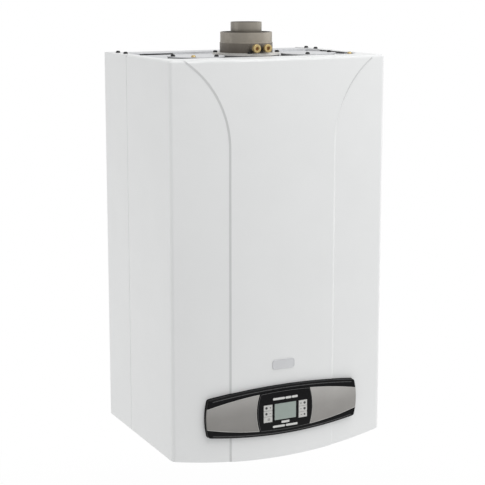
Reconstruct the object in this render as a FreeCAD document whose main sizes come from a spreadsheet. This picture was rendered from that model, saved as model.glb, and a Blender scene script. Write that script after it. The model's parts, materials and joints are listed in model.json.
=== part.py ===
import FreeCAD, Part
import math
import os
import Sketcher
from FreeCAD import Rotation, Vector

# A wall-hung gas boiler. X runs to the right, Y into the wall and Z up, and the wall is the plane Y = 0.
# Heights are measured from the lowest point of the case. Each finished piece is then lowered, so that
# the origin lies midway between the two hanging holes.

DIMENSIONS = {
    # Case
    "case_width": 450,
    "case_height": 763,
    "case_depth": 333.5,
    "front_bow": 14,
    "bottom_dip": 20,
    "corner_round": 8,
    "top_round": 5,
    "panel_sheet": 1.2,
    "plate_sheet": 1.5,
    "fit_gap": 0.4,
    "seam_gap": 0.8,
    "side_panel_depth": 115,
    "side_panel_lap": 18,
    "side_flange": 22,
    "joggle": 4,
    "cover_side_flange": 20,
    "cover_front_flange": 60,
    "cover_opening_corner": 28,
    "hang_height": 720,
    "hang_spacing": 260,
    "hang_hole_radius": 5,
    # Raised field of the front
    "field_rise": 1.5,
    "field_half_width": 108,
    "field_bend_height": 600,
    "field_bend_radius": 194,
    "badge_half_width": 22.5,
    "badge_height": 15,
    "badge_centre": 183.5,
    "badge_rise": 1,
    "badge_corner": 3,
    # Frame
    "frame_flange": 30,
    "top_strip": 55,
    "top_tab_width": 24,
    "top_tab_reach": 95,
    "arm_bottom": 60,
    "ledge_width": 32,
    "rail_depth": 30,
    "cover_tab_half_width": 13,
    # Screws
    "screw_radius": 2,
    "screw_hole_radius": 2.3,
    "screw_head_radius": 4.4,
    "screw_head_height": 4,
    "side_screw_inset": 15,
    "side_screw_rear": 35,
    "side_screw_front": 75,
    # Sealed chamber
    "chamber_floor": 285,
    "chamber_side_gap": 22,
    "chamber_back": 95,
    "chamber_front_gap": 27.5,
    "top_drop": 5,
    "top_plate_overhang": 8,
    "cable_slot_end": 25,
    "cable_slot_width": 71,
    "side_slot_rear": 112,
    "side_slot_front": 212,
    "side_slot_sill": 1.6,
    "earth_screw_inset": 18,
    "earth_screw_front": 23.5,
    "earth_pad_radius": 6,
    "earth_pad_height": 4,
    "lug": 14,
    "lid_seal": 3.5,
    "lid_seal_width": 13,
    "sight_radius": 14,
    "sight_glass_thickness": 2.5,
    "sight_ring_width": 4,
    "sight_height": 405,
    # Flue and air intakes
    "flue_setback": 175,
    "flue_pipe_radius": 30,
    "flue_pipe_wall": 1.5,
    "flue_pipe_rise": 62,
    "air_collar_radius": 50,
    "air_collar_wall": 2.5,
    "air_collar_rise": 43,
    "air_collar_step": 1,
    "air_collar_step_height": 23,
    "flue_flange_radius": 65,
    "flue_flange_thickness": 4,
    "flue_screw_circle": 60,
    "gasket": 4,
    "plug_spacing": 23.4,
    "plug_height": 14,
    "plug_radius": 8.2,
    "plug_head": 8,
    "plug_socket_radius": 2.6,
    "plug_boss_radius": 6.3,
    "plug_boss_reach": 64,
    "plug_bore_radius": 5,
    "intake_x": 120,
    "intake_front_gap": 14.5,
    "intake_hole_radius": 40,
    "intake_plate_radius": 54,
    "intake_screw_circle": 47,
    # Fan
    "fan_radius": 70,
    "fan_width": 54,
    "fan_wall": 1.5,
    "fan_outlet_width": 60,
    "fan_shoulder": 8.5,
    "fan_spigot_rise": 12,
    "fan_eye_radius": 28,
    "fan_foot": 10,
    "impeller_radius": 50,
    "impeller_eye_radius": 36,
    "impeller_disc": 2,
    "impeller_clearance": 1.5,
    "hub_radius": 9,
    "shaft_radius": 4,
    "bearing_gap": 0.3,
    "fan_motor_radius": 32,
    "fan_motor_flange_radius": 40,
    "fan_motor_flange": 3,
    "fan_motor_length": 43,
    # Combustion
    "hood_height": 26,
    "inlet_box_depth": 30,
    "inlet_box_width": 72,
    "exchanger_height": 66,
    "exchanger_half_width": 126,
    "tube_radius": 9,
    "tube_wall": 1,
    "header_start": 128,
    "header_end": 165,
    "header_height": 24,
    "header_rear_gap": 18.8,
    "fin_thickness": 0.8,
    "fin_pitch": 12,
    "fin_gap": 6,
    "shell_half_width": 115,
    "shell_sheet": 1,
    "shell_front_gap": 27,
    "shell_rear_gap": 28.8,
    "board_thickness": 12,
    "burner_leg_height": 53.8,
    "burner_frame_height": 32,
    "burner_frame_wall": 4,
    "burner_leg": 8,
    "burner_bar_width": 10,
    "burner_bar_pitch": 18,
    "burner_bar_drop": 4,
    "manifold_radius": 9,
    "manifold_drop": 30,
    "manifold_cheek": 1.5,
    "manifold_cheek_width": 40,
    "injector_radius": 3.2,
    "injector_rise": 20,
    "electrode_radius": 4.2,
    "electrode_height": 20,
    "electrode_spacing": 32,
    "electrode_outside": 10,
    "electrode_inside": 20,
    "electrode_tip": 20,
    "electrode_tip_radius": 1,
    "switch_radius": 30,
    "switch_depth": 28,
    "switch_inset": 63,
    "switch_drop": 108,
    "nozzle_radius": 3,
    "nozzle_length": 14,
    # Water and gas side
    "vessel_radius": 165,
    "vessel_depth": 84,
    "vessel_shoulder": 25,
    "vessel_bead": 3,
    "vessel_height": 520,
    "connection_spacing": 65,
    "connection_setback": 120,
    "connection_bottom": 36,
    "bracket_height": 66,
    "bracket_thickness": 2,
    "bracket_half_width": 170,
    "bracket_reach": 150,
    "bracket_upstand": 34,
    "large_stub_radius": 13.2,
    "small_stub_radius": 10.5,
    "stub_wall": 3.2,
    "stub_neck": 1,
    "stub_collar_radius": 17,
    "stub_collar_height": 8,
    "block_bottom": 95,
    "block_height": 65,
    "block_inner": 95,
    "block_outer": 165,
    "block_front": 155,
    "block_back": 25,
    "plates_thickness": 50,
    "plates_height": 50,
    "plates_rise": 10,
    "plates_groove": 1.2,
    "water_pipe_radius": 9,
    "riser_x": 152,
    "riser_setback": 128,
    "small_pipe_radius": 7,
    "small_pipe_height": 145,
    "pipe_wall": 1,
    "bend_radius": 14,
    "vessel_pipe_radius": 5,
    "vessel_pipe_setback": 45,
    "vessel_pipe_x": 110,
    "vessel_pipe_height": 262,
    "vessel_pipe_bend": 30,
    "pump_x": 130,
    "pump_radius": 46,
    "pump_length": 55,
    "pump_rise": 48,
    "pump_chamber_radius": 36,
    "pump_chamber_depth": 35,
    "pump_foot_half_width": 22,
    "pump_outlet_half_width": 12,
    "pump_motor_radius": 42,
    "pump_motor_length": 66,
    "pump_motor_cap": 6,
    "pump_impeller_radius": 32,
    "pump_impeller_width": 20,
    "diverter_x": 118,
    "diverter_half_width": 20,
    "diverter_height": 57,
    "diverter_boss_radius": 15,
    "diverter_boss": 8,
    "spindle_radius": 3,
    "spindle_length": 60,
    "spindle_travel": 8,
    "spindle_depth": 30,
    "gas_valve_half_width": 32,
    "gas_valve_depth": 80,
    "gas_valve_height": 65,
    "gas_coil_radius": 15,
    "gas_coil_length": 34,
    "gas_pipe_radius": 9,
    "gas_pipe_setback": 145,
    "gas_pipe_turn_height": 225,
    "gas_pipe_bend": 20,
    "valve_x": 145,
    "valve_height": 120,
    "valve_body_radius": 11,
    "valve_body_length": 24,
    "knob_radius": 15,
    "knob_length": 16,
    "knob_rib_width": 5,
    "knob_rib_rise": 6,
    "stem_radius": 3,
    "stem_length": 12,
    # Control box and panel
    "box_half_width": 168,
    "box_bottom": 42,
    "box_height": 108,
    "box_inset": 13.5,
    "box_depth": 44,
    "box_wall": 2.5,
    "ear_bottom": 90,
    "ear_height": 30,
    "board_half_width": 130,
    "board_margin": 13,
    "board_thickness_pcb": 1.6,
    "standoff_length": 13.5,
    "standoff_radius": 4,
    "gland_radius": 9,
    "gland_bore_radius": 5,
    "gland_length": 12,
    "gland_x": 150,
    "panel_centre": 96,
    "panel_half_width": 162,
    "panel_end_bow": 5,
    "panel_end_half_height": 36.5,
    "panel_mid_half_height": 48,
    "panel_corner": 5,
    "panel_edge": 2.5,
    "panel_proud": 10,
    "panel_gap": 0.8,
    "wing_outer_half_height": 20,
    "wing_inner": 54,
    "wing_inner_half_height": 36.5,
    "wing_inner_bow": 6,
    "wing_crown": 2.2,
    "wing_recess": 3,
    "wing_below": 0.4,
    "part_gap": 0.3,
    "seat_gap": 0.1,
    "unit_half_width": 53,
    "unit_half_height": 36.5,
    "unit_crown": 2,
    "unit_side_bow": 6,
    "unit_depth": 20,
    "unit_proud": 1,
    "screen_half_width": 23,
    "screen_bottom": 78,
    "screen_height": 32,
    "screen_depth": 3,
    "screen_below": 0.3,
    "key_centre": 37.6,
    "key_width": 18,
    "key_height": 10.8,
    "key_pitch": 11.5,
    "key_middle": 93,
    "key_depth": 6,
    "key_proud": 0.9,
    "key_travel": 0.8,
}


class Size(float):
    """A number that keeps the sheet formula behind it."""

    def __new__(cls, value, text):
        size = super().__new__(cls, value)
        size.formula = text
        return size

    def __add__(self, other):
        return Size(float(self) + float(other), f"({formula(self)} + {formula(other)})")

    def __radd__(self, other):
        return Size(float(other) + float(self), f"({formula(other)} + {formula(self)})")

    def __sub__(self, other):
        return Size(float(self) - float(other), f"({formula(self)} - {formula(other)})")

    def __rsub__(self, other):
        return Size(float(other) - float(self), f"({formula(other)} - {formula(self)})")

    def __mul__(self, other):
        return Size(float(self) * float(other), f"({formula(self)} * {formula(other)})")

    def __rmul__(self, other):
        return Size(float(other) * float(self), f"({formula(other)} * {formula(self)})")

    def __truediv__(self, other):
        return Size(float(self) / float(other), f"({formula(self)} / {formula(other)})")

    def __neg__(self):
        return Size(-float(self), f"(0 - {formula(self)})")


def formula(value):
    return value.formula if isinstance(value, Size) else repr(float(value))


def square_root(value):
    return Size(math.sqrt(value), f"sqrt({formula(value)})")


class Sizes:
    """The driving dimensions, one attribute for each row of the sheet."""

    def __init__(self, sheet, dimensions):
        for row, (alias, value) in enumerate(dimensions.items(), start=1):
            sheet.set(f"A{row}", alias)
            sheet.set(f"B{row}", str(value))
            sheet.setAlias(f"B{row}", alias)
            setattr(self, alias, Size(value, f"sizes.{alias}"))


doc = FreeCAD.newDocument("gas_boiler")
s = Sizes(doc.addObject("Spreadsheet::Sheet", "sizes"), DIMENSIONS)
doc.recompute()

SIDES = (-1, 1)
AXES = {
    "x": Rotation(Vector(0, 1, 0), 90),
    "y": Rotation(Vector(1, 0, 0), -90),
    "-y": Rotation(Vector(1, 0, 0), 90),
    "z": Rotation(),
}
OVERCUT = 1.0

nodes = {}
rest_heights = {}


# Building blocks

def bind(thing, name, value):
    thing.setExpression(name, formula(value))


def move(thing, x, y, z, axis="z"):
    thing.Placement.Rotation = AXES[axis]
    for letter, value in zip("xyz", (x, y, z)):
        bind(thing, f"Placement.Base.{letter}", value)
    rest_heights[thing.Name] = z
    return thing


def block(x_low, x_high, y_low, y_high, z_low, z_high):
    box = doc.addObject("Part::Box", "block")
    for name, low, high in (("Length", x_low, x_high), ("Width", y_low, y_high), ("Height", z_low, z_high)):
        bind(box, name, high - low)
    return move(box, x_low, y_low, z_low)


def side_block(side, inner, outer, y_low, y_high, z_low, z_high):
    """A block between two distances from the middle plane, on the left (-1) or the right (1)."""
    if side < 0:
        return block(-outer, -inner, y_low, y_high, z_low, z_high)
    return block(inner, outer, y_low, y_high, z_low, z_high)


def rod(axis, radius, x, y, z, length):
    cylinder = doc.addObject("Part::Cylinder", "rod")
    bind(cylinder, "Radius", radius)
    bind(cylinder, "Height", length)
    return move(cylinder, x, y, z, axis)


def vane(inner, outer, thickness, low, high, angle):
    """A flat blade that stands out from the Z axis at an angle."""
    blade = doc.addObject("Part::Box", "vane")
    bind(blade, "Length", outer - inner)
    bind(blade, "Width", thickness)
    bind(blade, "Height", high - low)
    across, along = math.sin(math.radians(angle)), math.cos(math.radians(angle))
    move(blade, inner * along + thickness / 2 * across, inner * across - thickness / 2 * along, low)
    blade.Placement.Rotation = Rotation(Vector(0, 0, 1), angle)
    return blade


def fuse(*pieces):
    joined = doc.addObject("Part::MultiFuse", "fuse")
    joined.Shapes = list(pieces)
    joined.Refine = True
    return joined


def group(*pieces):
    together = doc.addObject("Part::Compound", "group")
    together.Links = list(pieces)
    return together


def cut(base, *tools):
    remains = doc.addObject("Part::Cut", "cut")
    remains.Base = base
    remains.Tool = tools[0] if len(tools) == 1 else fuse(*tools)
    remains.Refine = True
    return remains


def common(first, second):
    shared = doc.addObject("Part::Common", "common")
    shared.Base = first
    shared.Tool = second
    return shared


def tube(axis, outer, inner, x, y, z, length):
    return cut(rod(axis, outer, x, y, z, length), rod(axis, inner, x, y, z, length))


def new_sketch(body, plane, offset):
    sketch = body.newObject("Sketcher::SketchObject", f"{body.Name}_sketch")
    support = next(feature for feature in body.Origin.OriginFeatures if feature.Role == plane)
    sketch.AttachmentSupport = [(support, "")]
    sketch.MapMode = "FlatFace"
    bind(sketch, "AttachmentOffset.Base.z", offset)
    return sketch


def pin(sketch, geometry, point, place):
    """Holds one point of a sketch at a place that is bound to the sheet."""
    for kind, value in zip(("DistanceX", "DistanceY"), place):
        index = sketch.addConstraint(Sketcher.Constraint(kind, -1, 1, geometry, point, float(value)))
        bind(sketch, f"Constraints[{index}]", value)


def draw(sketch, outline, closed=True):
    """Lines and arcs through the outline's points. A pair of points is an arc: through one, to the other."""
    steps = list(outline[1:])
    ends = [step[1] if isinstance(step[0], tuple) else step for step in steps]
    if closed and ends[-1] != outline[0]:
        steps.append(outline[0])
    here = outline[0]
    first = previous = None
    for step in steps:
        middle, end = step if isinstance(step[0], tuple) else (None, step)
        start_point, end_point = Vector(*here, 0), Vector(*end, 0)
        if middle is None:
            geometry = sketch.addGeometry(Part.LineSegment(start_point, end_point), False)
            near, far = 1, 2
        else:
            geometry = sketch.addGeometry(Part.ArcOfCircle(start_point, Vector(*middle, 0), end_point), False)
            begins = sketch.getPoint(geometry, 1).distanceToPoint(start_point)
            finishes = sketch.getPoint(geometry, 2).distanceToPoint(start_point)
            near, far = (1, 2) if begins < finishes else (2, 1)
            through = sketch.addGeometry(Part.Point(Vector(*middle, 0)), True)
            pin(sketch, through, 1, middle)
            sketch.addConstraint(Sketcher.Constraint("PointOnObject", through, 1, geometry))
        pin(sketch, geometry, near, here)
        if previous:
            sketch.addConstraint(Sketcher.Constraint("Coincident", *previous, geometry, near))
        else:
            first = (geometry, near)
        previous = (geometry, far)
        here = end
    if closed:
        sketch.addConstraint(Sketcher.Constraint("Coincident", *previous, *first))
    else:
        pin(sketch, *previous, here)


def pad(body, sketch, length):
    feature = body.newObject("PartDesign::Pad", f"{body.Name}_pad")
    feature.Profile = sketch
    bind(feature, "Length", length)


def upright_prism(name, outline, low, high):
    """An outline in plan, X by Y, raised from one height to another."""
    body = doc.addObject("PartDesign::Body", name)
    sketch = new_sketch(body, "XY_Plane", low)
    draw(sketch, outline)
    pad(body, sketch, high - low)
    return body


def facing_prism(name, outline, back, front):
    """An outline in elevation, X by Z, run forwards between two distances from the wall."""
    body = doc.addObject("PartDesign::Body", name)
    sketch = new_sketch(body, "XZ_Plane", back)
    draw(sketch, outline)
    pad(body, sketch, front - back)
    return body


def turned(name, outline):
    """An outline of radius by height, turned about the Z axis."""
    body = doc.addObject("PartDesign::Body", name)
    sketch = new_sketch(body, "XZ_Plane", 0)
    draw(sketch, outline)
    feature = body.newObject("PartDesign::Revolution", f"{name}_turn")
    feature.Profile = sketch
    feature.ReferenceAxis = (sketch, ["V_Axis"])
    feature.Angle = 360
    return body


def round_edges(body, radius, chosen):
    """Rounds those edges of a body that the test picks."""
    doc.recompute()
    tip = body.Tip
    edges = [f"Edge{i}" for i, edge in enumerate(tip.Shape.Edges, start=1) if chosen(edge)]
    feature = body.newObject("PartDesign::Fillet", f"{body.Name}_round")
    feature.Base = (tip, edges)
    bind(feature, "Radius", radius)


def bent_pipe(name, plane, offset, corners, radius, wall, bend, start):
    """A pipe along a path with square corners that lies in one plane and starts upwards."""
    body = doc.addObject("PartDesign::Body", name)
    path = new_sketch(body, plane, offset)
    outline = [corners[0]]
    for before, corner, after in zip(corners, corners[1:], corners[2:]):
        inwards, outwards = heading(before, corner), heading(corner, after)
        entry = tuple(c - bend * i for c, i in zip(corner, inwards))
        leave = tuple(c + bend * o for c, o in zip(corner, outwards))
        spare = 1 - math.sqrt(0.5)
        middle = tuple(c - bend * (i * spare) + bend * (o * spare)
                       for c, i, o in zip(corner, inwards, outwards))
        outline += [entry, (middle, leave)]
    outline.append(corners[-1])
    draw(path, outline, closed=False)
    x, y, z = start
    ring = new_sketch(body, "XY_Plane", z)
    for circle_radius in (radius, radius - wall):
        circle = ring.addGeometry(Part.Circle(Vector(x, y, 0), Vector(0, 0, 1), circle_radius), False)
        pin(ring, circle, 3, (x, y))
        index = ring.addConstraint(Sketcher.Constraint("Radius", circle, float(circle_radius)))
        bind(ring, f"Constraints[{index}]", circle_radius)
    feature = body.newObject("PartDesign::AdditivePipe", f"{name}_sweep")
    feature.Profile = ring
    feature.Spine = (path, [])
    return body


def heading(start, end):
    """The unit step from one corner to the next, which lies along one axis."""
    return tuple((float(b) > float(a)) - (float(b) < float(a)) for a, b in zip(start, end))


def node(label, piece):
    """Names a finished piece and lowers it to the origin's height."""
    piece.Label = label
    bind(piece, "Placement.Base.z", rest_heights.get(piece.Name, 0) - s.hang_height)
    nodes[label] = piece


def screw(axis, x, y, z, length):
    """A pan-head screw whose head stands on a face at (x, y, z), with its shank pointing away."""
    if axis == "z":
        head = rod("z", s.screw_head_radius, x, y, z, s.screw_head_height)
        shank = rod("z", s.screw_radius, x, y, z - length, length)
    else:
        head = rod("-y", s.screw_head_radius, x, y, z, s.screw_head_height)
        shank = rod("y", s.screw_radius, x, y, z, length)
    return fuse(head, shank)


# Places that several pieces share

half = s.case_width / 2
frame_half = half - s.panel_sheet - s.fit_gap
arm_outer = frame_half - s.plate_sheet
arm_inner = arm_outer - s.plate_sheet
frame_top = s.case_height - s.panel_sheet
top_plate_top = s.case_height - s.top_drop
top_plate_bottom = top_plate_top - s.plate_sheet
cover_rear = s.side_panel_depth + s.seam_gap
bow_radius = (half * half + s.front_bow * s.front_bow) / (2 * s.front_bow)

chamber_half = half - s.chamber_side_gap
chamber_front = s.case_depth - s.front_bow - s.chamber_front_gap
chamber_inner_back = s.chamber_back + s.panel_sheet
chamber_inner_floor = s.chamber_floor + s.panel_sheet
lid_back = chamber_front + s.lid_seal
lid_front = lid_back + s.plate_sheet
shell_front = chamber_front - s.shell_front_gap
shell_back = s.chamber_back + s.shell_rear_gap

fan_x = -(s.fan_radius - s.fan_outlet_width / 2)
fan_shoulder = top_plate_bottom - s.fan_shoulder
fan_height = fan_shoulder - s.fan_radius - s.fit_gap
fan_bottom = fan_height - s.fan_radius
fan_back = s.flue_setback - s.fan_width / 2
fan_front = s.flue_setback + s.fan_width / 2
hood_bottom = fan_bottom - s.hood_height
exchanger_bottom = hood_bottom - s.exchanger_height
burner_bottom = chamber_inner_floor + s.burner_leg_height
burner_top = burner_bottom + s.burner_frame_height
manifold_height = burner_bottom - s.manifold_drop
manifold_y = -(shell_front + shell_back) / 2
tube_height = exchanger_bottom + s.exchanger_height / 2

block_top = s.block_bottom + s.block_height
pump_height = block_top + s.pump_rise
pump_front = s.block_front
pump_back = pump_front - s.pump_length
box_front = s.case_depth - s.front_bow - s.box_inset
cover_tab_x = (s.box_half_width + arm_inner) / 2
switch_x = chamber_half - s.switch_inset
panel_front_margin = 60


def bow(x, inset):
    """The Y of the bowed front at x, for a face that lies inset behind the cover's own."""
    reach = bow_radius - inset
    return bow_radius - s.case_depth - square_root(reach * reach - x * x)


# Case

def front_form(name, front_inset, side_inset, rear, low):
    """The solid that the cover is drawn over, set in at its front, and at its sides and top."""
    side = half - side_inset
    front_corner = bow(side, front_inset)
    top = s.case_height - side_inset
    body = upright_prism(name, [
        (-side, -rear), (-side, front_corner),
        ((Size(0, "0"), bow(0 * half, front_inset)), (side, front_corner)),
        (side, -rear),
    ], low, top)
    corner_y, top_z = float(front_corner), float(top)
    round_edges(body, s.corner_round - side_inset, lambda edge: (
        len(edge.Vertexes) == 2 and all(abs(v.Y - corner_y) < 0.01 for v in edge.Vertexes)
        and abs(edge.Vertexes[0].X - edge.Vertexes[1].X) < 0.01))
    round_edges(body, s.top_round - side_inset, lambda edge: (
        all(abs(v.Z - top_z) < 0.01 for v in edge.Vertexes)
        and any(v.Y < -float(rear) - 0.01 for v in edge.Vertexes)))
    return body


def field_outline(inset):
    """The raised centre field, drawn in by an inset: upright edges that curve outwards to the top."""
    width, bend, radius = s.field_half_width - inset, s.field_bend_height, s.field_bend_radius + inset
    rise = s.case_height - bend

    def across(height):
        return width + radius - square_root(radius * radius - height * height)

    half_way = bend + rise / 2
    zero = 0 * width
    return [
        (-width, zero), (width, zero), (width, bend),
        ((across(rise / 2), half_way), (across(rise), s.case_height)),
        (-across(rise), s.case_height),
        ((-across(rise / 2), half_way), (-width, bend)),
    ]


def dip_outline():
    """What is cut off below the curved lower edge of the front."""
    side = half + OVERCUT
    zero = 0 * half
    return [(-side, -s.bottom_dip), (side, -s.bottom_dip), (side, s.bottom_dip),
            ((zero, zero), (-side, s.bottom_dip))]


def panel_outline(clearance):
    """The lens-shaped outline of the control panel, let out by a clearance."""
    middle = s.panel_centre
    tip = s.panel_half_width + clearance
    corner = tip - s.panel_end_bow
    end = s.panel_end_half_height + clearance
    crown = s.panel_mid_half_height + clearance
    zero = 0 * middle
    return [
        (-corner, middle - end), ((zero, middle - crown), (corner, middle - end)),
        ((tip, middle), (corner, middle + end)), ((zero, middle + crown), (-corner, middle + end)),
        ((-tip, middle), (-corner, middle - end)),
    ]


def panel_prism(name, clearance, back, front):
    body = facing_prism(name, panel_outline(clearance), back, front)
    corner_x = float(s.panel_half_width + clearance - s.panel_end_bow)
    round_edges(body, s.panel_corner + clearance, lambda edge: (
        all(abs(abs(v.X) - corner_x) < 0.01 for v in edge.Vertexes)
        and abs(edge.Vertexes[0].Y - edge.Vertexes[-1].Y) > 1))
    return body


def badge_prism(back, front):
    """A plain plate with rounded corners."""
    wide, low = s.badge_half_width, s.badge_centre - s.badge_height / 2
    high = low + s.badge_height
    body = facing_prism("badge_prism", [(-wide, low), (wide, low), (wide, high), (-wide, high)], back, front)
    round_edges(body, s.badge_corner, lambda edge: abs(edge.Vertexes[0].Y - edge.Vertexes[-1].Y) > 1)
    return body


def top_opening_outline():
    """The opening in the cover's top, with its two front corners cut off."""
    side, front, corner = opening_half, opening_front, s.cover_opening_corner
    rear = cover_rear - OVERCUT
    return [
        (-side, -rear), (-side, corner - front), (corner - side, -front),
        (side - corner, -front), (side, corner - front), (side, -rear),
    ]


def make_front_cover():
    sheet = s.panel_sheet
    back, front = s.case_depth - panel_front_margin, s.case_depth + panel_front_margin
    skin = front_form("cover_skin", 0 * sheet, 0 * sheet, cover_rear, 0 * sheet)
    proud = front_form("cover_field", -s.field_rise, 0 * sheet, cover_rear, 0 * sheet)
    field = common(proud, facing_prism("field_prism", field_outline(0 * sheet), back, front))
    badge = common(
        front_form("badge_face", -(s.field_rise + s.badge_rise), 0 * sheet, cover_rear, 0 * sheet),
        badge_prism(back, front))
    hollow = front_form("cover_hollow", sheet, sheet, cover_rear - OVERCUT, 0 * sheet - OVERCUT)
    pressed = common(
        front_form("field_hollow", sheet - s.field_rise, sheet, cover_rear - OVERCUT, 0 * sheet - OVERCUT),
        facing_prism("field_hollow_prism", field_outline(sheet), back, front))
    top_opening = upright_prism("cover_top_opening", top_opening_outline(),
                                s.case_height - s.cover_front_flange, s.case_height + OVERCUT)
    dip = facing_prism("cover_dip", dip_outline(), cover_rear - OVERCUT, front)
    opening = panel_prism("cover_opening", s.panel_gap, back, front)
    shell = cut(fuse(skin, field, badge), hollow, pressed, top_opening, dip, opening)
    inner_face = front_form("cover_tab_face", sheet / 2, sheet / 2, cover_rear, 0 * sheet)
    tab_top = s.arm_bottom - s.plate_sheet - s.fit_gap
    rail_back = chamber_front + s.plate_sheet - s.rail_depth
    tabs = []
    for side in SIDES:
        near = cover_tab_x - s.cover_tab_half_width
        far = cover_tab_x + s.cover_tab_half_width
        tab = side_block(side, near, far, -front, -rail_back, tab_top - sheet, tab_top)
        hole = rod("z", s.screw_hole_radius, side * cover_tab_x, cover_screw_y, tab_top - 2 * sheet,
                   3 * sheet)
        tabs.append(cut(common(inner_face, tab), hole))
    node("front_cover", fuse(shell, *tabs))


cover_screw_y = -(chamber_front + s.plate_sheet - s.rail_depth / 2)


def make_cover_screws():
    tab_bottom = s.arm_bottom - s.plate_sheet - s.fit_gap - s.panel_sheet
    screws = []
    for side in SIDES:
        x = side * cover_tab_x
        head = rod("z", s.screw_head_radius, x, cover_screw_y, tab_bottom - s.screw_head_height,
                   s.screw_head_height)
        shank = rod("z", s.screw_radius, x, cover_screw_y, tab_bottom, 3 * s.screw_head_height)
        screws.append(fuse(head, shank))
    node("cover_screws", group(*screws))


def side_screw_places():
    for side in SIDES:
        for setback in (s.side_screw_rear, s.side_screw_front):
            yield side * (half - s.side_screw_inset), -setback


def make_rear_frame():
    sheet, bottom = s.plate_sheet, s.bottom_dip
    zero = 0 * sheet
    pieces = [
        block(-frame_half, frame_half, -sheet, zero, bottom, frame_top),
        block(-frame_half, frame_half, -s.top_strip, zero, frame_top - sheet, frame_top),
    ]
    holes = []
    for side in SIDES:
        pieces.append(side_block(side, frame_half - sheet, frame_half, -s.frame_flange, zero, bottom,
                                 frame_top))
        pieces.append(side_block(side, frame_half - s.top_tab_width, frame_half, -s.top_tab_reach, zero,
                                 frame_top - sheet, frame_top))
        holes.append(rod("y", s.hang_hole_radius, side * s.hang_spacing / 2, -2 * sheet, s.hang_height,
                         3 * sheet))
    for x, y in side_screw_places():
        holes.append(rod("z", s.screw_hole_radius, x, y, frame_top - 2 * sheet, 3 * sheet))
    node("rear_frame", cut(fuse(*pieces), *holes))


def make_side_panel(label, side):
    sheet, bottom, top = s.panel_sheet, s.bottom_dip, s.case_height
    zero = 0 * sheet
    depth = s.side_panel_depth
    lap_inner = half - 2 * sheet - s.fit_gap
    lap_top = top - s.top_round - s.seam_gap
    pieces = [
        side_block(side, half - sheet, half, -depth, zero, bottom, top),
        side_block(side, half - s.side_flange, half, -depth, zero, top - sheet, top),
        side_block(side, lap_inner, half, -depth, s.joggle - depth, bottom, lap_top),
        side_block(side, lap_inner, lap_inner + sheet, -(depth + s.side_panel_lap), -depth, bottom, lap_top),
    ]
    holes = [rod("z", s.screw_hole_radius, x, y, top - 2 * sheet, 3 * sheet)
             for x, y in side_screw_places() if x * side > 0]
    node(label, cut(fuse(*pieces), *holes))


def make_frame_rails():
    """On each side an arm with a ledge under the chamber and a foot that the cover is screwed to."""
    sheet = s.plate_sheet
    floor, front = s.chamber_floor, chamber_front + s.plate_sheet
    slot = s.screw_hole_radius
    low, high = s.arm_bottom - 2 * sheet, s.arm_bottom + sheet
    rails = []
    for side in SIDES:
        x = side * cover_tab_x
        rail = fuse(
            side_block(side, arm_inner, arm_outer, -front, -sheet, s.arm_bottom - sheet, floor),
            side_block(side, arm_outer - s.ledge_width, arm_outer, -front, -s.chamber_back, floor - sheet,
                       floor),
            side_block(side, s.box_half_width + s.seam_gap, arm_outer, -front, s.rail_depth - front,
                       s.arm_bottom - sheet, s.arm_bottom))
        rails.append(cut(rail, block(x - slot, x + slot, -front - OVERCUT, cover_screw_y, low, high),
                         rod("z", slot, x, cover_screw_y, low, high - low)))
    node("frame_rails", group(*rails))


# Top of the case, flue and air intakes

flue_seat = top_plate_top + s.gasket
flange_top = flue_seat + s.flue_flange_thickness
opening_half, opening_front = half - s.cover_side_flange, s.case_depth - s.cover_front_flange
earth_screw_place = (opening_half - s.earth_screw_inset, s.earth_screw_front - opening_front)
intake_y = s.intake_front_gap + s.intake_plate_radius - opening_front
FLUE_SCREW_ANGLES = [250 + 90 * turn for turn in range(4)]
INTAKE_SCREW_ANGLES = {-1: (180, 300), 1: (0, 240)}
BRASS_SCREW_ANGLES = {-1: (240,), 1: ()}


def around(radius, angle, x, y):
    turn = math.radians(angle)
    return x + radius * math.cos(turn), y + radius * math.sin(turn)


def flue_screw_places():
    return [around(s.flue_screw_circle, angle, 0, -s.flue_setback) for angle in FLUE_SCREW_ANGLES]


def intake_screw_places(angles):
    return [around(s.intake_screw_circle, angle, side * s.intake_x, intake_y)
            for side in SIDES for angle in angles[side]]


def plate_hole_places():
    """Every screw hole of the intake plates."""
    return intake_screw_places(INTAKE_SCREW_ANGLES) + intake_screw_places(BRASS_SCREW_ANGLES)


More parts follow.
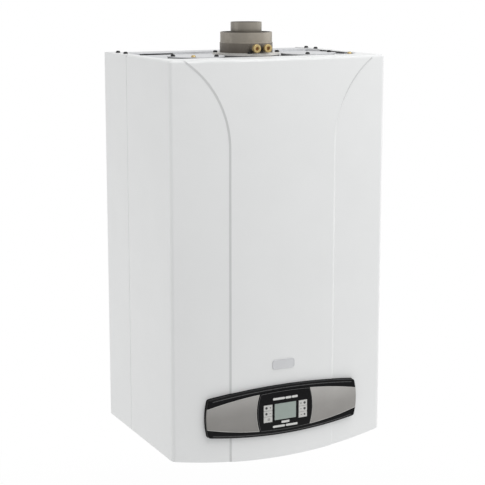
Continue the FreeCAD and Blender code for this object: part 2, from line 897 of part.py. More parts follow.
def make_top_plate():
    sheet = s.plate_sheet
    edge = chamber_half + OVERCUT
    front = chamber_front + s.top_plate_overhang
    rear = s.top_strip + OVERCUT
    rib_top = frame_top - s.fit_gap
    rib_half = frame_half - s.top_tab_width - s.fit_gap
    slot = rib_half - s.cable_slot_end
    pieces = [
        block(-edge, edge, -front, -rear, top_plate_bottom, top_plate_top),
        block(-edge, edge, -front, sheet - front, top_plate_bottom, rib_top),
        block(-rib_half, -slot, -rear - sheet, -rear, top_plate_bottom, rib_top),
        block(s.cable_slot_width - slot, rib_half, -rear - sheet, -rear, top_plate_bottom, rib_top),
    ]
    for side in SIDES:
        for start, stop, top in (
                (-s.side_slot_rear, -rear, rib_top), (-front, -s.side_slot_front, rib_top),
                (-s.side_slot_front, -s.side_slot_rear, top_plate_top + s.side_slot_sill)):
            pieces.append(side_block(side, rib_half - sheet, rib_half, start, stop, top_plate_bottom, top))
    pad = s.earth_pad_height
    pieces.append(rod("z", s.earth_pad_radius, *earth_screw_place, top_plate_bottom, sheet + pad))
    plate = fuse(*pieces)
    low, depth = top_plate_bottom - sheet, 3 * sheet
    holes = [rod("z", s.air_collar_radius - 2 * s.air_collar_wall, 0, -s.flue_setback, low, depth)]
    for side in SIDES:
        holes.append(rod("z", s.intake_hole_radius, side * s.intake_x, intake_y, low, depth))
    for x, y in flue_screw_places() + plate_hole_places():
        holes.append(rod("z", s.screw_hole_radius, x, y, low, depth))
    holes.append(rod("z", s.screw_hole_radius, *earth_screw_place, low, depth + pad))
    node("top_plate", cut(plate, *holes))


def make_flue_adaptor():
    inner = s.air_collar_radius - s.air_collar_wall
    lower = s.air_collar_radius + s.air_collar_step
    zero = 0 * inner
    body = turned("flue_collar", [
        (zero, zero), (s.flue_flange_radius, zero), (s.flue_flange_radius, s.flue_flange_thickness),
        (lower, s.flue_flange_thickness), (lower, s.air_collar_step_height),
        (s.air_collar_radius, s.air_collar_step_height + s.air_collar_step),
        (s.air_collar_radius, s.air_collar_rise), (zero, s.air_collar_rise),
    ])
    move(body, 0, -s.flue_setback, flue_seat)
    height = flue_seat + s.plug_height
    bosses, bores = [], []
    for side in SIDES:
        x = side * s.plug_spacing / 2
        y = -(s.flue_setback + s.plug_boss_reach)
        bosses.append(rod("y", s.plug_boss_radius, x, y, height, s.plug_boss_reach - s.air_collar_radius / 2))
        bores.append(rod("y", s.plug_bore_radius, x, y - OVERCUT, height,
                         s.plug_boss_reach - s.air_collar_radius / 2))
    bores.append(rod("z", inner, 0, -s.flue_setback, flue_seat - OVERCUT, s.air_collar_rise + 2 * OVERCUT))
    for x, y in flue_screw_places():
        bores.append(rod("z", s.screw_hole_radius, x, y, flue_seat - OVERCUT,
                         s.flue_flange_thickness + 2 * OVERCUT))
    node("flue_adaptor", cut(fuse(body, *bosses), *bores))


def make_sampling_plugs():
    plugs = []
    height = flue_seat + s.plug_height
    face = -(s.flue_setback + s.plug_boss_reach)
    for side in SIDES:
        x = side * s.plug_spacing / 2
        head = rod("-y", s.plug_radius, x, face, height, s.plug_head)
        shank = rod("y", s.plug_bore_radius - s.part_gap, x, face, height, s.plug_head)
        socket = rod("y", s.plug_socket_radius, x, face - s.plug_head - OVERCUT, height, s.plug_head)
        plugs.append(cut(fuse(head, shank), socket))
    node("sampling_plugs", group(*plugs))


def make_flue_inner_pipe():
    length = flue_seat + s.flue_pipe_rise - fan_shoulder
    inner = s.flue_pipe_radius - s.flue_pipe_wall
    node("flue_inner_pipe", tube("z", s.flue_pipe_radius, inner, 0, -s.flue_setback, fan_shoulder, length))


def make_gaskets():
    """The seals under the flue flange and the intake plates, and round the chamber's lid."""
    flue = cut(
        rod("z", s.flue_flange_radius - OVERCUT, 0, -s.flue_setback, top_plate_top, s.gasket),
        rod("z", s.air_collar_radius - s.air_collar_wall, 0, -s.flue_setback, top_plate_top, s.gasket),
        *[rod("z", s.screw_hole_radius, x, y, top_plate_top, s.gasket) for x, y in flue_screw_places()])
    rings = [flue]
    holes = [rod("z", s.screw_hole_radius, x, y, top_plate_top, s.gasket) for x, y in plate_hole_places()]
    for side in SIDES:
        x, y = side * s.intake_x, intake_y
        ring = cut(
            rod("z", s.intake_plate_radius - OVERCUT, x, y, top_plate_top, s.gasket),
            rod("z", s.intake_hole_radius, x, y, top_plate_top, s.gasket), *holes)
        rings.append(ring)
    low, high = s.chamber_floor, top_plate_bottom - s.fit_gap
    width = s.lid_seal_width
    lid_ring = cut(
        block(-chamber_half, chamber_half, -lid_back, -chamber_front, low, high),
        block(width - chamber_half, chamber_half - width, -lid_back, -chamber_front, low + width,
              high - width),
        *[rod("y", s.screw_hole_radius, x, -lid_front, z, s.lug) for x, z in lid_screw_places()])
    node("gaskets", group(*rings, lid_ring))


def make_intake_plates():
    plates = []
    holes = [rod("z", s.screw_hole_radius, x, y, top_plate_top, 3 * s.gasket) for x, y in plate_hole_places()]
    for side in SIDES:
        disc = rod("z", s.intake_plate_radius, side * s.intake_x, intake_y, flue_seat, s.plate_sheet)
        plates.append(cut(disc, *holes))
    node("intake_plates", group(*plates))


def lid_screw_places():
    inset = s.lid_seal_width / 2
    high = top_plate_bottom - s.fit_gap - inset
    return [(side * (chamber_half - inset), z) for side in SIDES for z in (s.chamber_floor + inset, high)]


def make_screws():
    """The black screws of the side panels, the flue flange, the intake plates and the chamber lid."""
    through = s.gasket + 2 * s.plate_sheet
    screws = [screw("z", x, y, s.case_height, s.panel_sheet + 3 * s.plate_sheet)
              for x, y in side_screw_places()]
    screws += [screw("z", x, y, flange_top, s.flue_flange_thickness + through)
               for x, y in flue_screw_places()]
    seat = flue_seat + s.plate_sheet
    screws += [screw("z", x, y, seat, s.plate_sheet + through)
               for x, y in intake_screw_places(INTAKE_SCREW_ANGLES)]
    screws += [screw("y", x, -lid_front, z, lid_front - chamber_front + s.lug / 2)
               for x, z in lid_screw_places()]
    node("case_screws", group(*screws))
    brass = [screw("z", x, y, seat, s.plate_sheet + through)
             for x, y in intake_screw_places(BRASS_SCREW_ANGLES)]
    pad = s.earth_pad_height
    brass.append(screw("z", *earth_screw_place, top_plate_top + pad, pad + through))
    node("brass_screws", group(*brass))


# Sealed chamber

def make_chamber_box():
    sheet = s.panel_sheet
    walls = cut(
        block(-chamber_half, chamber_half, -chamber_front, -s.chamber_back, s.chamber_floor,
              top_plate_bottom),
        block(sheet - chamber_half, chamber_half - sheet, -chamber_front - OVERCUT, -chamber_inner_back,
              chamber_inner_floor, top_plate_bottom + OVERCUT))
    lugs = []
    for x, z in lid_screw_places():
        side = 1 if x > 0 else -1
        reach = s.lug / 2
        lugs.append(side_block(side, side * x - reach, chamber_half, -chamber_front, s.lug - chamber_front,
                               z - s.lid_seal_width / 2, z + s.lid_seal_width / 2))
    holes = [rod("y", s.screw_hole_radius, x, -chamber_front - OVERCUT, z, s.lug)
             for x, z in lid_screw_places()]
    low, depth = s.chamber_floor - sheet, 3 * sheet
    for side in SIDES:
        holes.append(rod("z", s.water_pipe_radius + s.fit_gap, side * s.riser_x, -s.riser_setback, low,
                         depth))
    holes.append(rod("z", s.gas_pipe_radius + s.fit_gap, 0, manifold_y, low, depth))
    node("chamber_box", cut(fuse(walls, *lugs), *holes))


def make_chamber_lid():
    ring_outer = s.sight_radius + s.sight_ring_width
    plate = fuse(
        block(-chamber_half, chamber_half, -lid_front, -lid_back, s.chamber_floor,
              top_plate_bottom - s.fit_gap),
        rod("-y", ring_outer, 0, -lid_front, s.sight_height, s.sight_glass_thickness))
    holes = [rod("y", s.screw_hole_radius, x, -lid_front - OVERCUT, z, s.lug) for x, z in lid_screw_places()]
    holes.append(rod("-y", s.sight_radius - s.sight_ring_width, 0, -lid_back + OVERCUT, s.sight_height,
                     s.lug))
    holes.append(rod("-y", s.sight_radius + s.part_gap, 0, -lid_front, s.sight_height, s.lug))
    node("chamber_lid", cut(plate, *holes))
    node("sight_glass", rod("-y", s.sight_radius, 0, -lid_front, s.sight_height, s.sight_glass_thickness))


def make_fan():
    wall, y_axis = s.fan_wall, -s.flue_setback
    spigot = s.flue_pipe_radius - s.flue_pipe_wall - s.fit_gap
    outlet = s.fan_outlet_width / 2
    foot = fan_x - s.fan_foot
    outer = fuse(
        rod("y", s.fan_radius, fan_x, -fan_front, fan_height, s.fan_width),
        block(-outlet, outlet, -fan_front, -fan_back, fan_height, fan_shoulder),
        rod("z", spigot, 0, y_axis, fan_shoulder - s.fan_spigot_rise, 2 * s.fan_spigot_rise),
        block(foot - s.fan_foot, foot + 3 * s.fan_foot, -fan_front, -fan_back, fan_bottom,
              fan_bottom + s.fan_foot))
    inside = fuse(
        rod("y", s.fan_radius - wall, fan_x, wall - fan_front, fan_height, s.fan_width - 2 * wall),
        block(wall - outlet, outlet - wall, wall - fan_front, -fan_back - wall, fan_height,
              fan_shoulder - wall),
        rod("z", spigot - wall, 0, y_axis, fan_height, s.fan_radius * 2),
        rod("y", s.fan_eye_radius, fan_x, y_axis, fan_height, s.fan_width),
        rod("-y", s.shaft_radius + s.bearing_gap, fan_x, y_axis, fan_height, s.fan_width))
    node("fan_housing", cut(outer, inside))

    motor_back = fan_front
    can = fuse(
        rod("-y", s.fan_motor_flange_radius, fan_x, -motor_back, fan_height, s.fan_motor_flange),
        rod("-y", s.fan_motor_radius, fan_x, -motor_back, fan_height, s.fan_motor_length))
    bore = rod("-y", s.shaft_radius + s.bearing_gap, fan_x, OVERCUT - motor_back, fan_height,
               s.fan_motor_length)
    node("fan_motor", cut(can, bore))

    low = wall + s.impeller_clearance
    high = s.fan_width - wall - s.impeller_clearance
    rim = s.impeller_radius
    pieces = [
        rod("z", rim, 0, 0, low, s.impeller_disc),
        cut(rod("z", rim, 0, 0, high - s.impeller_disc, s.impeller_disc),
            rod("z", s.impeller_eye_radius, 0, 0, high - s.impeller_disc, s.impeller_disc)),
        rod("z", s.hub_radius, 0, 0, low, s.fan_width / 2),
        rod("z", s.shaft_radius, 0, 0, low - s.fan_motor_length * 0.75, s.fan_motor_length),
    ]
    blades = 16
    for turn in range(blades):
        pieces.append(vane(s.impeller_eye_radius, rim - OVERCUT / 2, s.impeller_disc, low, high,
                           360 * turn / blades))
    node("fan_impeller", move(fuse(*pieces), fan_x, -fan_front, fan_height, "y"))


def make_flue_hood():
    sheet, edge = s.shell_sheet, s.exchanger_half_width
    box_low, box_high = fan_x - s.inlet_box_width / 2, fan_x + s.inlet_box_width / 2
    box_back = fan_back - s.inlet_box_depth
    box_top = fan_height + s.inlet_box_width / 2
    outer = fuse(
        block(-edge, edge, -shell_front, -shell_back, hood_bottom, fan_bottom),
        block(box_low, box_high, -fan_back, -box_back, hood_bottom + sheet, box_top))
    inner = fuse(
        block(sheet - edge, edge - sheet, sheet - shell_front, -shell_back - sheet, hood_bottom - sheet,
              fan_bottom - sheet),
        block(box_low + sheet, box_high - sheet, sheet - fan_back, -box_back - sheet, hood_bottom + 2 * sheet,
              box_top - sheet),
        rod("-y", s.fan_eye_radius, fan_x, OVERCUT - fan_back - 2 * sheet, fan_height,
            2 * OVERCUT + 3 * sheet))
    node("flue_hood", cut(outer, inner))


def tube_places():
    count = 5
    span = shell_front - shell_back
    return [-(shell_back + span * (2 * i + 1) / (2 * count)) for i in range(count)]


def make_heat_exchanger():
    sheet, edge = s.shell_sheet, s.exchanger_half_width
    top = exchanger_bottom + s.exchanger_height
    length = 2 * s.header_start
    bores = [rod("x", s.tube_radius + s.bearing_gap, -s.header_start, y, tube_height, length)
             for y in tube_places()]
    casing = cut(
        block(-edge, edge, -shell_front, -shell_back, exchanger_bottom, top),
        block(sheet - edge, edge - sheet, sheet - shell_front, -shell_back - sheet, exchanger_bottom, top),
        *bores)
    fins = []
    pitch = DIMENSIONS["fin_pitch"]
    count = int((float(edge) - float(s.fin_gap)) / pitch)
    for i in range(-count, count + 1):
        x = i * s.fin_pitch - s.fin_thickness / 2
        fins.append(block(x, x + s.fin_thickness, sheet - shell_front + s.part_gap,
                          -shell_back - sheet - s.part_gap, exchanger_bottom + s.fin_gap, top - s.fin_gap))
    node("exchanger_core", group(casing, cut(group(*fins), *bores)))

    header_back = s.chamber_back + s.header_rear_gap
    low = tube_height - s.header_height / 2
    pieces = [rod("x", s.tube_radius, -s.header_start, y, tube_height, length) for y in tube_places()]
    for side in SIDES:
        pieces.append(side_block(side, s.header_start, s.header_end, -shell_front, -header_back, low,
                                 low + s.header_height))
    hollows = [rod("x", s.tube_radius - s.tube_wall, -s.header_start, y, tube_height, length)
               for y in tube_places()]
    node("exchanger_tubes", cut(fuse(*pieces), *hollows))


def electrode_places():
    """The two spark electrodes and the flame sensor, side by side in the front of the shell."""
    return [(i * s.electrode_spacing, burner_top + s.electrode_height) for i in (-1, 0, 1)]


def make_combustion_chamber():
    sheet, edge = s.shell_sheet, s.shell_half_width
    inner = edge - sheet
    front, back = sheet - shell_front, -shell_back - sheet
    depth = s.electrode_outside + s.electrode_inside
    holes = [rod("y", s.electrode_radius + s.bearing_gap, x, -shell_front - OVERCUT, z, depth)
             for x, z in electrode_places()]
    shell = cut(
        block(-edge, edge, -shell_front, -shell_back, burner_top, exchanger_bottom),
        block(-inner, inner, front, back, burner_top, exchanger_bottom), *holes)
    node("combustion_shell", shell)
    thick = s.board_thickness
    boards = [
        cut(block(-inner, inner, front, front + thick, burner_top, exchanger_bottom), *holes),
        block(-inner, inner, back - thick, back, burner_top, exchanger_bottom),
    ]
    for side in SIDES:
        boards.append(side_block(side, inner - thick, inner, front + thick, back - thick, burner_top,
                                 exchanger_bottom))
    node("insulation_boards", group(*boards))

    electrodes = []
    for x, z in electrode_places():
        start = -(shell_front + s.electrode_outside)
        ceramic = rod("y", s.electrode_radius, x, start, z, depth)
        tip = rod("y", s.electrode_tip_radius, x, start, z, depth + s.electrode_tip)
        electrodes.append(fuse(ceramic, tip))
    node("electrodes", group(*electrodes))


def make_burner():
    wall = s.burner_frame_wall
    edge = s.shell_half_width + wall - s.shell_sheet
    front, back = shell_front + wall - s.shell_sheet, shell_back - wall + s.shell_sheet
    frame = cut(
        block(-edge, edge, -front, -back, burner_bottom, burner_top),
        block(wall - edge, edge - wall, wall - front, -back - wall, burner_bottom, burner_top))
    pieces = [frame]
    leg = s.burner_leg
    for side in SIDES:
        for y_low, y_high in ((-front, leg - front), (-back - leg, -back)):
            pieces.append(side_block(side, edge - leg, edge, y_low, y_high, chamber_inner_floor,
                                     burner_bottom + wall))
        reach = s.manifold_cheek_width / 2
        pieces.append(side_block(side, edge - s.manifold_cheek, edge, manifold_y - reach, manifold_y + reach,
                                 manifold_height - s.manifold_radius, burner_bottom + wall))
    node("burner_frame", fuse(*pieces))

    bars = []
    count = int((float(edge) - float(wall)) / float(s.burner_bar_pitch))
    gap = s.part_gap
    for i in range(-count, count + 1):
        x = i * s.burner_bar_pitch - s.burner_bar_width / 2
        low, high = burner_bottom + s.burner_bar_drop, burner_top - s.burner_bar_drop
        skin = s.shell_sheet
        bars.append(cut(
            block(x, x + s.burner_bar_width, wall - front + gap, -back - wall - gap, low, high),
            block(x + skin, x + s.burner_bar_width - skin, wall - front + gap + skin,
                  -back - wall - gap - skin, low - OVERCUT, high - skin)))
    node("burner_bars", group(*bars))

    end = edge - s.manifold_cheek
    pieces = [rod("x", s.manifold_radius, -end, manifold_y, manifold_height, 2 * end)]
    for i in range(-count, count + 1):
        pieces.append(rod("z", s.injector_radius, i * s.burner_bar_pitch, manifold_y, manifold_height,
                          s.injector_rise))
    manifold = fuse(*pieces)
    valve_top = s.block_bottom + s.gas_valve_height
    supply = bent_pipe(
        "gas_pipe", "YZ_Plane", 0 * end,
        [(-s.gas_pipe_setback, valve_top), (-s.gas_pipe_setback, s.gas_pipe_turn_height),
         (manifold_y, s.gas_pipe_turn_height), (manifold_y, manifold_height)],
        s.gas_pipe_radius, s.pipe_wall, s.gas_pipe_bend, (0 * end, -s.gas_pipe_setback, valve_top))
    node("gas_pipework", group(manifold, cut(supply, rod(
        "x", s.manifold_radius, -end, manifold_y, manifold_height, 2 * end))))


def make_pressure_switch():
    z = top_plate_bottom - s.switch_drop
    face = -(chamber_inner_back + s.switch_depth)
    pieces = [
        rod("y", s.switch_radius, switch_x, face, z, s.switch_depth / 2),
        rod("y", s.switch_radius - s.nozzle_radius, switch_x, face, z, s.switch_depth),
    ]
    for side in SIDES:
        x = switch_x + side * s.switch_radius / 2
        pieces.append(rod("-y", s.nozzle_radius, x, face, z, s.nozzle_length))
    node("pressure_switch", fuse(*pieces))


# Water and gas side

def vessel_form(name, inset):
    """A flat drum with rounded shoulders, drawn in by an inset."""
    rim, low, high = s.vessel_radius - inset, inset, s.vessel_depth - inset
    shoulder = s.vessel_shoulder - inset
    curve = shoulder * (1 - math.sqrt(0.5))
    zero = 0 * rim
    return turned(name, [
        (zero, low), (rim - shoulder, low), ((rim - curve, low + curve), (rim, low + shoulder)),
        (rim, high - shoulder), ((rim - curve, high - curve), (rim - shoulder, high)), (zero, high),
    ])


def make_expansion_vessel():
    """A hollow drum with a welded rim round its middle and a port below."""
    rim, middle, bead = s.vessel_radius, s.vessel_depth / 2, s.vessel_bead
    drum = fuse(vessel_form("vessel", 0 * rim), rod("z", rim + bead, 0, 0, middle - bead / 2, bead))
    port = rod("-y", s.vessel_pipe_radius - s.pipe_wall, 0, 0, s.vessel_pipe_setback - s.plate_sheet,
               rim + 2 * bead)
    hollow = cut(drum, vessel_form("vessel_hollow", s.plate_sheet), port)
    node("expansion_vessel", move(hollow, 0, -s.plate_sheet, s.vessel_height, "-y"))


def connection_places():
    """From the left: heating flow, hot water, gas, cold water, heating return."""
    radii = (s.large_stub_radius, s.small_stub_radius, s.large_stub_radius, s.small_stub_radius,
             s.large_stub_radius)
    return [((i - 2) * s.connection_spacing, radius) for i, radius in enumerate(radii)]


def make_connections():
    y = -s.connection_setback
    low, sheet = s.bracket_height, s.bracket_thickness
    plate = fuse(
        block(-s.bracket_half_width, s.bracket_half_width, -s.bracket_reach, -s.plate_sheet, low,
              low + sheet),
        block(-s.bracket_half_width, s.bracket_half_width, -s.plate_sheet - sheet, -s.plate_sheet, low,
              low + s.bracket_upstand))
    holes = [rod("z", radius + s.part_gap, x, y, low - sheet, 3 * sheet) for x, radius in connection_places()]
    node("connection_bracket", cut(plate, *holes))
    stubs = []
    for x, radius in connection_places():
        collar = low + sheet
        pieces = fuse(
            rod("z", radius, x, y, s.connection_bottom, low - s.connection_bottom),
            rod("z", radius - s.stub_neck, x, y, low, sheet),
            rod("z", s.stub_collar_radius, x, y, collar, s.stub_collar_height),
            rod("z", s.small_stub_radius, x, y, collar, s.block_bottom - collar))
        bore = rod("z", s.small_stub_radius - s.stub_wall, x, y, s.connection_bottom, s.block_bottom)
        stubs.append(cut(pieces, bore))
    node("connection_stubs", group(*stubs))


def make_hydraulic_blocks():
    low, inner, outer = s.block_bottom, s.block_inner, s.block_outer
    flow = fuse(
        side_block(-1, inner, outer, -s.block_front, -s.block_back, low, block_top),
        rod("z", s.diverter_boss_radius, -s.diverter_x, -s.riser_setback, block_top, s.diverter_boss))
    spindle_low = block_top - s.spindle_depth
    bore = s.spindle_radius + s.bearing_gap
    node("flow_block",
         cut(flow, rod("z", bore, -s.diverter_x, -s.riser_setback, spindle_low, s.spindle_length)))
    node("return_block", side_block(1, inner, outer, -s.block_front, -s.block_back, low, block_top))

    motor_low = block_top + s.diverter_boss
    reach = s.diverter_half_width
    motor = block(-s.diverter_x - reach, reach - s.diverter_x, -s.riser_setback - reach,
                  reach - s.riser_setback, motor_low, motor_low + s.diverter_height)
    room = spindle_low + s.spindle_length + s.spindle_travel + s.bearing_gap - motor_low
    node("diverter_motor", cut(motor, rod("z", bore, -s.diverter_x, -s.riser_setback, motor_low - OVERCUT,
                                          room + OVERCUT)))
    node("diverter_spindle", rod("z", s.spindle_radius, -s.diverter_x, -s.riser_setback,
                                 spindle_low + s.bearing_gap, s.spindle_length))

    plates_low = low + s.plates_rise
    back = s.block_back
    front = back + s.plates_thickness
    stack = block(-inner, inner, -front, -back, plates_low, plates_low + s.plates_height)
    grooves = []
    count = 9
    for i in range(1, count + 1):
        z = plates_low + s.plates_height * i / (count + 1) - s.plates_groove / 2
        grooves.append(cut(
            block(-inner - OVERCUT, inner + OVERCUT, -front - OVERCUT, OVERCUT - back, z,
                  z + s.plates_groove),
            block(s.plates_groove - inner, inner - s.plates_groove, s.plates_groove - front,
                  -back - s.plates_groove, z, z + s.plates_groove)))
    node("plate_exchanger", cut(stack, *grooves))


def make_pump():
    length, y_front = s.pump_length, -pump_front
    foot, outlet = s.pump_foot_half_width, s.pump_outlet_half_width
    body = fuse(
        rod("y", s.pump_radius, s.pump_x, y_front, pump_height, length),
        block(s.pump_x - foot, s.pump_x + foot, y_front, -pump_back, block_top, pump_height),
        block(s.riser_x - outlet, s.riser_x + outlet, -s.riser_setback - outlet, outlet - s.riser_setback,
              pump_height, pump_height + s.pump_radius))
    room = rod("y", s.pump_chamber_radius, s.pump_x, y_front - OVERCUT, pump_height,
               s.pump_chamber_depth + OVERCUT)
    node("pump_body", cut(body, room))
    motor = fuse(
        rod("-y", s.pump_motor_radius, s.pump_x, y_front, pump_height, s.pump_motor_length),
        rod("-y", s.pump_motor_radius - s.pump_motor_cap, s.pump_x, y_front - s.pump_motor_length,
            pump_height, s.pump_motor_cap))
    bore_length = s.pump_motor_length / 2
    bore = rod("-y", s.shaft_radius + s.bearing_gap, s.pump_x, y_front + OVERCUT, pump_height,
               bore_length + OVERCUT)
    node("pump_motor", cut(motor, bore))
    low = (s.pump_chamber_depth - s.pump_impeller_width) / 2
    disc = s.impeller_disc
    pieces = [
        rod("z", s.pump_impeller_radius, 0, 0, low, disc),
        rod("z", s.hub_radius, 0, 0, low, s.pump_impeller_width),
        rod("z", s.shaft_radius, 0, 0, s.bearing_gap - bore_length, bore_length + low),
    ]
    blades = 7
    for turn in range(blades):
        pieces.append(vane(s.shaft_radius, s.pump_impeller_radius - disc / 2, disc, low,
                           low + s.pump_impeller_width, 360 * turn / blades))
    node("pump_impeller", move(fuse(*pieces), s.pump_x, y_front, pump_height, "y"))


def make_gas_valve():
    y_front = -(s.connection_setback + s.gas_valve_depth * 0.8)
    reach = s.gas_valve_half_width
    low = s.block_bottom
    pieces = [block(-reach, reach, y_front, y_front + s.gas_valve_depth, low, low + s.gas_valve_height)]
    for side in SIDES:
        pieces.append(rod("-y", s.gas_coil_radius, side * reach / 2, y_front, low + s.gas_valve_height / 2,
                          s.gas_coil_length))
    node("gas_valve", fuse(*pieces))


def make_water_pipes():
    header_low = tube_height - s.header_height / 2
    radius, wall = s.water_pipe_radius, s.pipe_wall
    pump_top = pump_height + s.pump_radius
    pipes = [
        tube("z", radius, radius - wall, -s.riser_x, -s.riser_setback, block_top, header_low - block_top),
        tube("z", radius, radius - wall, s.riser_x, -s.riser_setback, pump_top, header_low - pump_top),
    ]
    for side in SIDES:
        x = side * s.connection_spacing
        pipes.append(bent_pipe(
            "tap_water_pipe", "XZ_Plane", s.connection_setback,
            [(x, s.block_bottom), (x, s.small_pipe_height), (side * s.block_inner, s.small_pipe_height)],
            s.small_pipe_radius, wall, s.bend_radius, (x, -s.connection_setback, s.block_bottom)))
    x, y = s.vessel_pipe_x, s.vessel_pipe_setback
    vessel_low = s.vessel_height - s.vessel_radius - s.vessel_bead
    zero = 0 * x
    pipes.append(bent_pipe(
        "vessel_pipe", "XZ_Plane", y,
        [(x, block_top), (x, s.vessel_pipe_height), (zero, s.vessel_pipe_height), (zero, vessel_low)],
        s.vessel_pipe_radius, wall, s.vessel_pipe_bend, (x, -y, block_top)))
    node("water_pipes", group(*pipes))


def make_valves():
    """The safety valve on the flow side and the filling tap on the return side, with their knobs."""
    face = -s.block_front
    bodies = []
    bore = s.stem_radius + s.bearing_gap
    for label, side, ribs in (("safety_knob", -1, 3), ("filling_knob", 1, 2)):
        x, z = side * s.valve_x, s.valve_height
        body = rod("-y", s.valve_body_radius, x, face, z, s.valve_body_length)
        end = face - s.valve_body_length
        bodies.append(cut(body, rod("y", bore, x, end - OVERCUT, z, s.stem_length + s.bearing_gap + OVERCUT)))
        pieces = [
            rod("z", s.knob_radius, 0, 0, s.bearing_gap, s.knob_length),
            rod("z", s.stem_radius, 0, 0, -s.stem_length, s.stem_length + s.knob_length),
        ]
        for turn in range(ribs):
            pieces.append(vane(0 * s.knob_radius, s.knob_radius, s.knob_rib_width, s.knob_length,
                               s.knob_length + s.knob_rib_rise, 360 * turn / ribs))
        node(label, move(fuse(*pieces), x, end, z, "-y"))
    node("valve_bodies", group(*bodies))


# Control box and panel

def make_control_box():
    wall, edge = s.box_wall, s.box_half_width
    low, high = s.box_bottom, s.box_bottom + s.box_height
    back = box_front - s.box_depth
    tray = cut(
        block(-edge, edge, -box_front, -back, low, high),
        block(wall - edge, edge - wall, wall - box_front, OVERCUT - back, low + wall, high - wall))
    pieces = [tray]
    for side in SIDES:
        pieces.append(side_block(side, edge - wall, arm_inner, -chamber_front, -back - wall, s.ear_bottom,
                                 s.ear_bottom + s.ear_height))
    inset = 2 * s.standoff_radius
    for side in SIDES:
        for z in (low + s.board_margin + inset, high - s.board_margin - inset):
            x = side * (s.board_half_width - inset)
            pieces.append(rod("y", s.standoff_radius, x, -box_front, z, s.standoff_length + wall))
    gland_y = -(box_front - s.box_depth / 2)
    pieces.append(rod("z", s.gland_radius, s.gland_x, gland_y, low - s.gland_length, s.gland_length + wall))
    bore = rod("z", s.gland_bore_radius, s.gland_x, gland_y, low - s.gland_length - OVERCUT,
               s.gland_length + 2 * wall + OVERCUT)
    ear_room = block(wall - edge, edge - wall, wall - box_front + s.standoff_length, OVERCUT - back,
                     low + wall, high - wall)
    node("control_box", cut(fuse(*pieces), bore, ear_room))
    node("control_box_lid", block(-edge, edge, -back, wall - back, low, high))

    board_front = box_front - wall - s.standoff_length
    board_back = board_front - s.board_thickness_pcb
    reach, margin = s.board_half_width, s.board_margin
    board_low, board_high = low + margin, high - margin
    node("main_board", block(-reach, reach, -board_front, -board_back, board_low, board_high))
    room = board_back - back - 2 * wall
    cell = reach / 6
    parts = []
    for column, row, width, tall, share in (
            (-5, 0.3, 2.2, 0.5, 1), (-2.2, 0.15, 1, 0.35, 0.7), (-2.2, 0.6, 1, 0.25, 0.7),
            (-0.8, 0.6, 1, 0.25, 0.7), (0.6, 0.1, 4.6, 0.14, 0.5), (0.6, 0.45, 1.6, 0.3, 0.25),
            (3, 0.5, 1.2, 0.35, 0.6)):
        x, z = column * cell, board_low + (board_high - board_low) * row
        parts.append(block(x, x + width * cell, -board_back, room * share - board_back, z,
                           z + (board_high - board_low) * tall))
    for column in (4.6, 5.4):
        parts.append(rod("y", cell / 3, column * cell, -board_back,
                         board_low + (board_high - board_low) * 0.75, room * 0.8))
    node("board_components", group(*parts))


def bowed_slab(name, back_inset, front_inset):
    """A slab wider than the panel, whose back and front both follow the bow."""
    reach = s.panel_half_width + s.panel_edge
    low = s.panel_centre - s.panel_mid_half_height - panel_front_margin
    high = s.panel_centre + s.panel_mid_half_height + panel_front_margin
    zero = 0 * reach
    return upright_prism(name, [
        (reach, bow(reach, back_inset)), (reach, bow(reach, front_inset)),
        ((zero, bow(zero, front_inset)), (-reach, bow(reach, front_inset))), (-reach, bow(reach, back_inset)),
        ((zero, bow(zero, back_inset)), (reach, bow(reach, back_inset))),
    ], low, high)


def end_bow(height):
    """How far from the middle the panel's bowed end lies, at a height from its centre line."""
    rise, reach = s.panel_end_bow, s.panel_end_half_height
    radius = (reach * reach + rise * rise) / (2 * rise)
    return s.panel_half_width - radius + square_root(radius * radius - height * height)


def wing_outline(side, clearance, overrun):
    """A wing with a clearance at its long edges. It reaches the panel's end, or runs past it."""
    middle = s.panel_centre
    end, root = s.wing_outer_half_height + clearance, s.wing_inner_half_height + clearance
    outer, inner = side * (end_bow(end) + overrun), side * (s.wing_inner - clearance)
    tip = side * (s.panel_half_width + overrun)
    crown = (end + root) / 2 + s.wing_crown
    half_way = (outer + inner) / 2
    return [
        (outer, middle - end), ((half_way, middle - crown), (inner, middle - root)),
        ((inner + side * s.wing_inner_bow, middle), (inner, middle + root)),
        ((half_way, middle + crown), (outer, middle + end)), ((tip, middle), (outer, middle - end)),
    ]


def bezel_form():
    """The whole panel, its front bowed like the cover and its front edge rounded."""
    proud, reach = s.panel_proud, s.panel_half_width + s.panel_edge
    far = -(panel_depth_front + OVERCUT)
    zero = 0 * reach
    body = panel_prism("bezel", zero, panel_depth_back, panel_depth_front)
    sketch = new_sketch(body, "XY_Plane", s.panel_centre)
    draw(sketch, [
        (reach, bow(reach, -proud)), ((zero, bow(zero, -proud)), (-reach, bow(reach, -proud))),
        (-reach, far), (reach, far),
    ])
    pocket = body.newObject("PartDesign::Pocket", "bezel_front")
    pocket.Profile = sketch
    pocket.Type = "ThroughAll"
    pocket.Midplane = True
    round_edges(body, s.panel_edge, lambda edge: all(
        abs(corner.Y - float(bow(corner.X, -proud))) < 0.01 for corner in edge.Vertexes))
    return body


def unit_outline(clearance):
    middle = s.panel_centre
    side = s.unit_half_width + clearance
    end = s.unit_half_height + clearance
    crown = end + s.unit_crown
    belly = side + s.unit_side_bow
    zero = 0 * side
    return [
        (-side, middle - end), ((zero, middle - crown), (side, middle - end)),
        ((belly, middle), (side, middle + end)), ((zero, middle + crown), (-side, middle + end)),
        ((-belly, middle), (-side, middle - end)),
    ]


panel_depth_back = box_front
panel_depth_front = s.case_depth + panel_front_margin
unit_face = -(s.panel_proud + s.unit_proud)


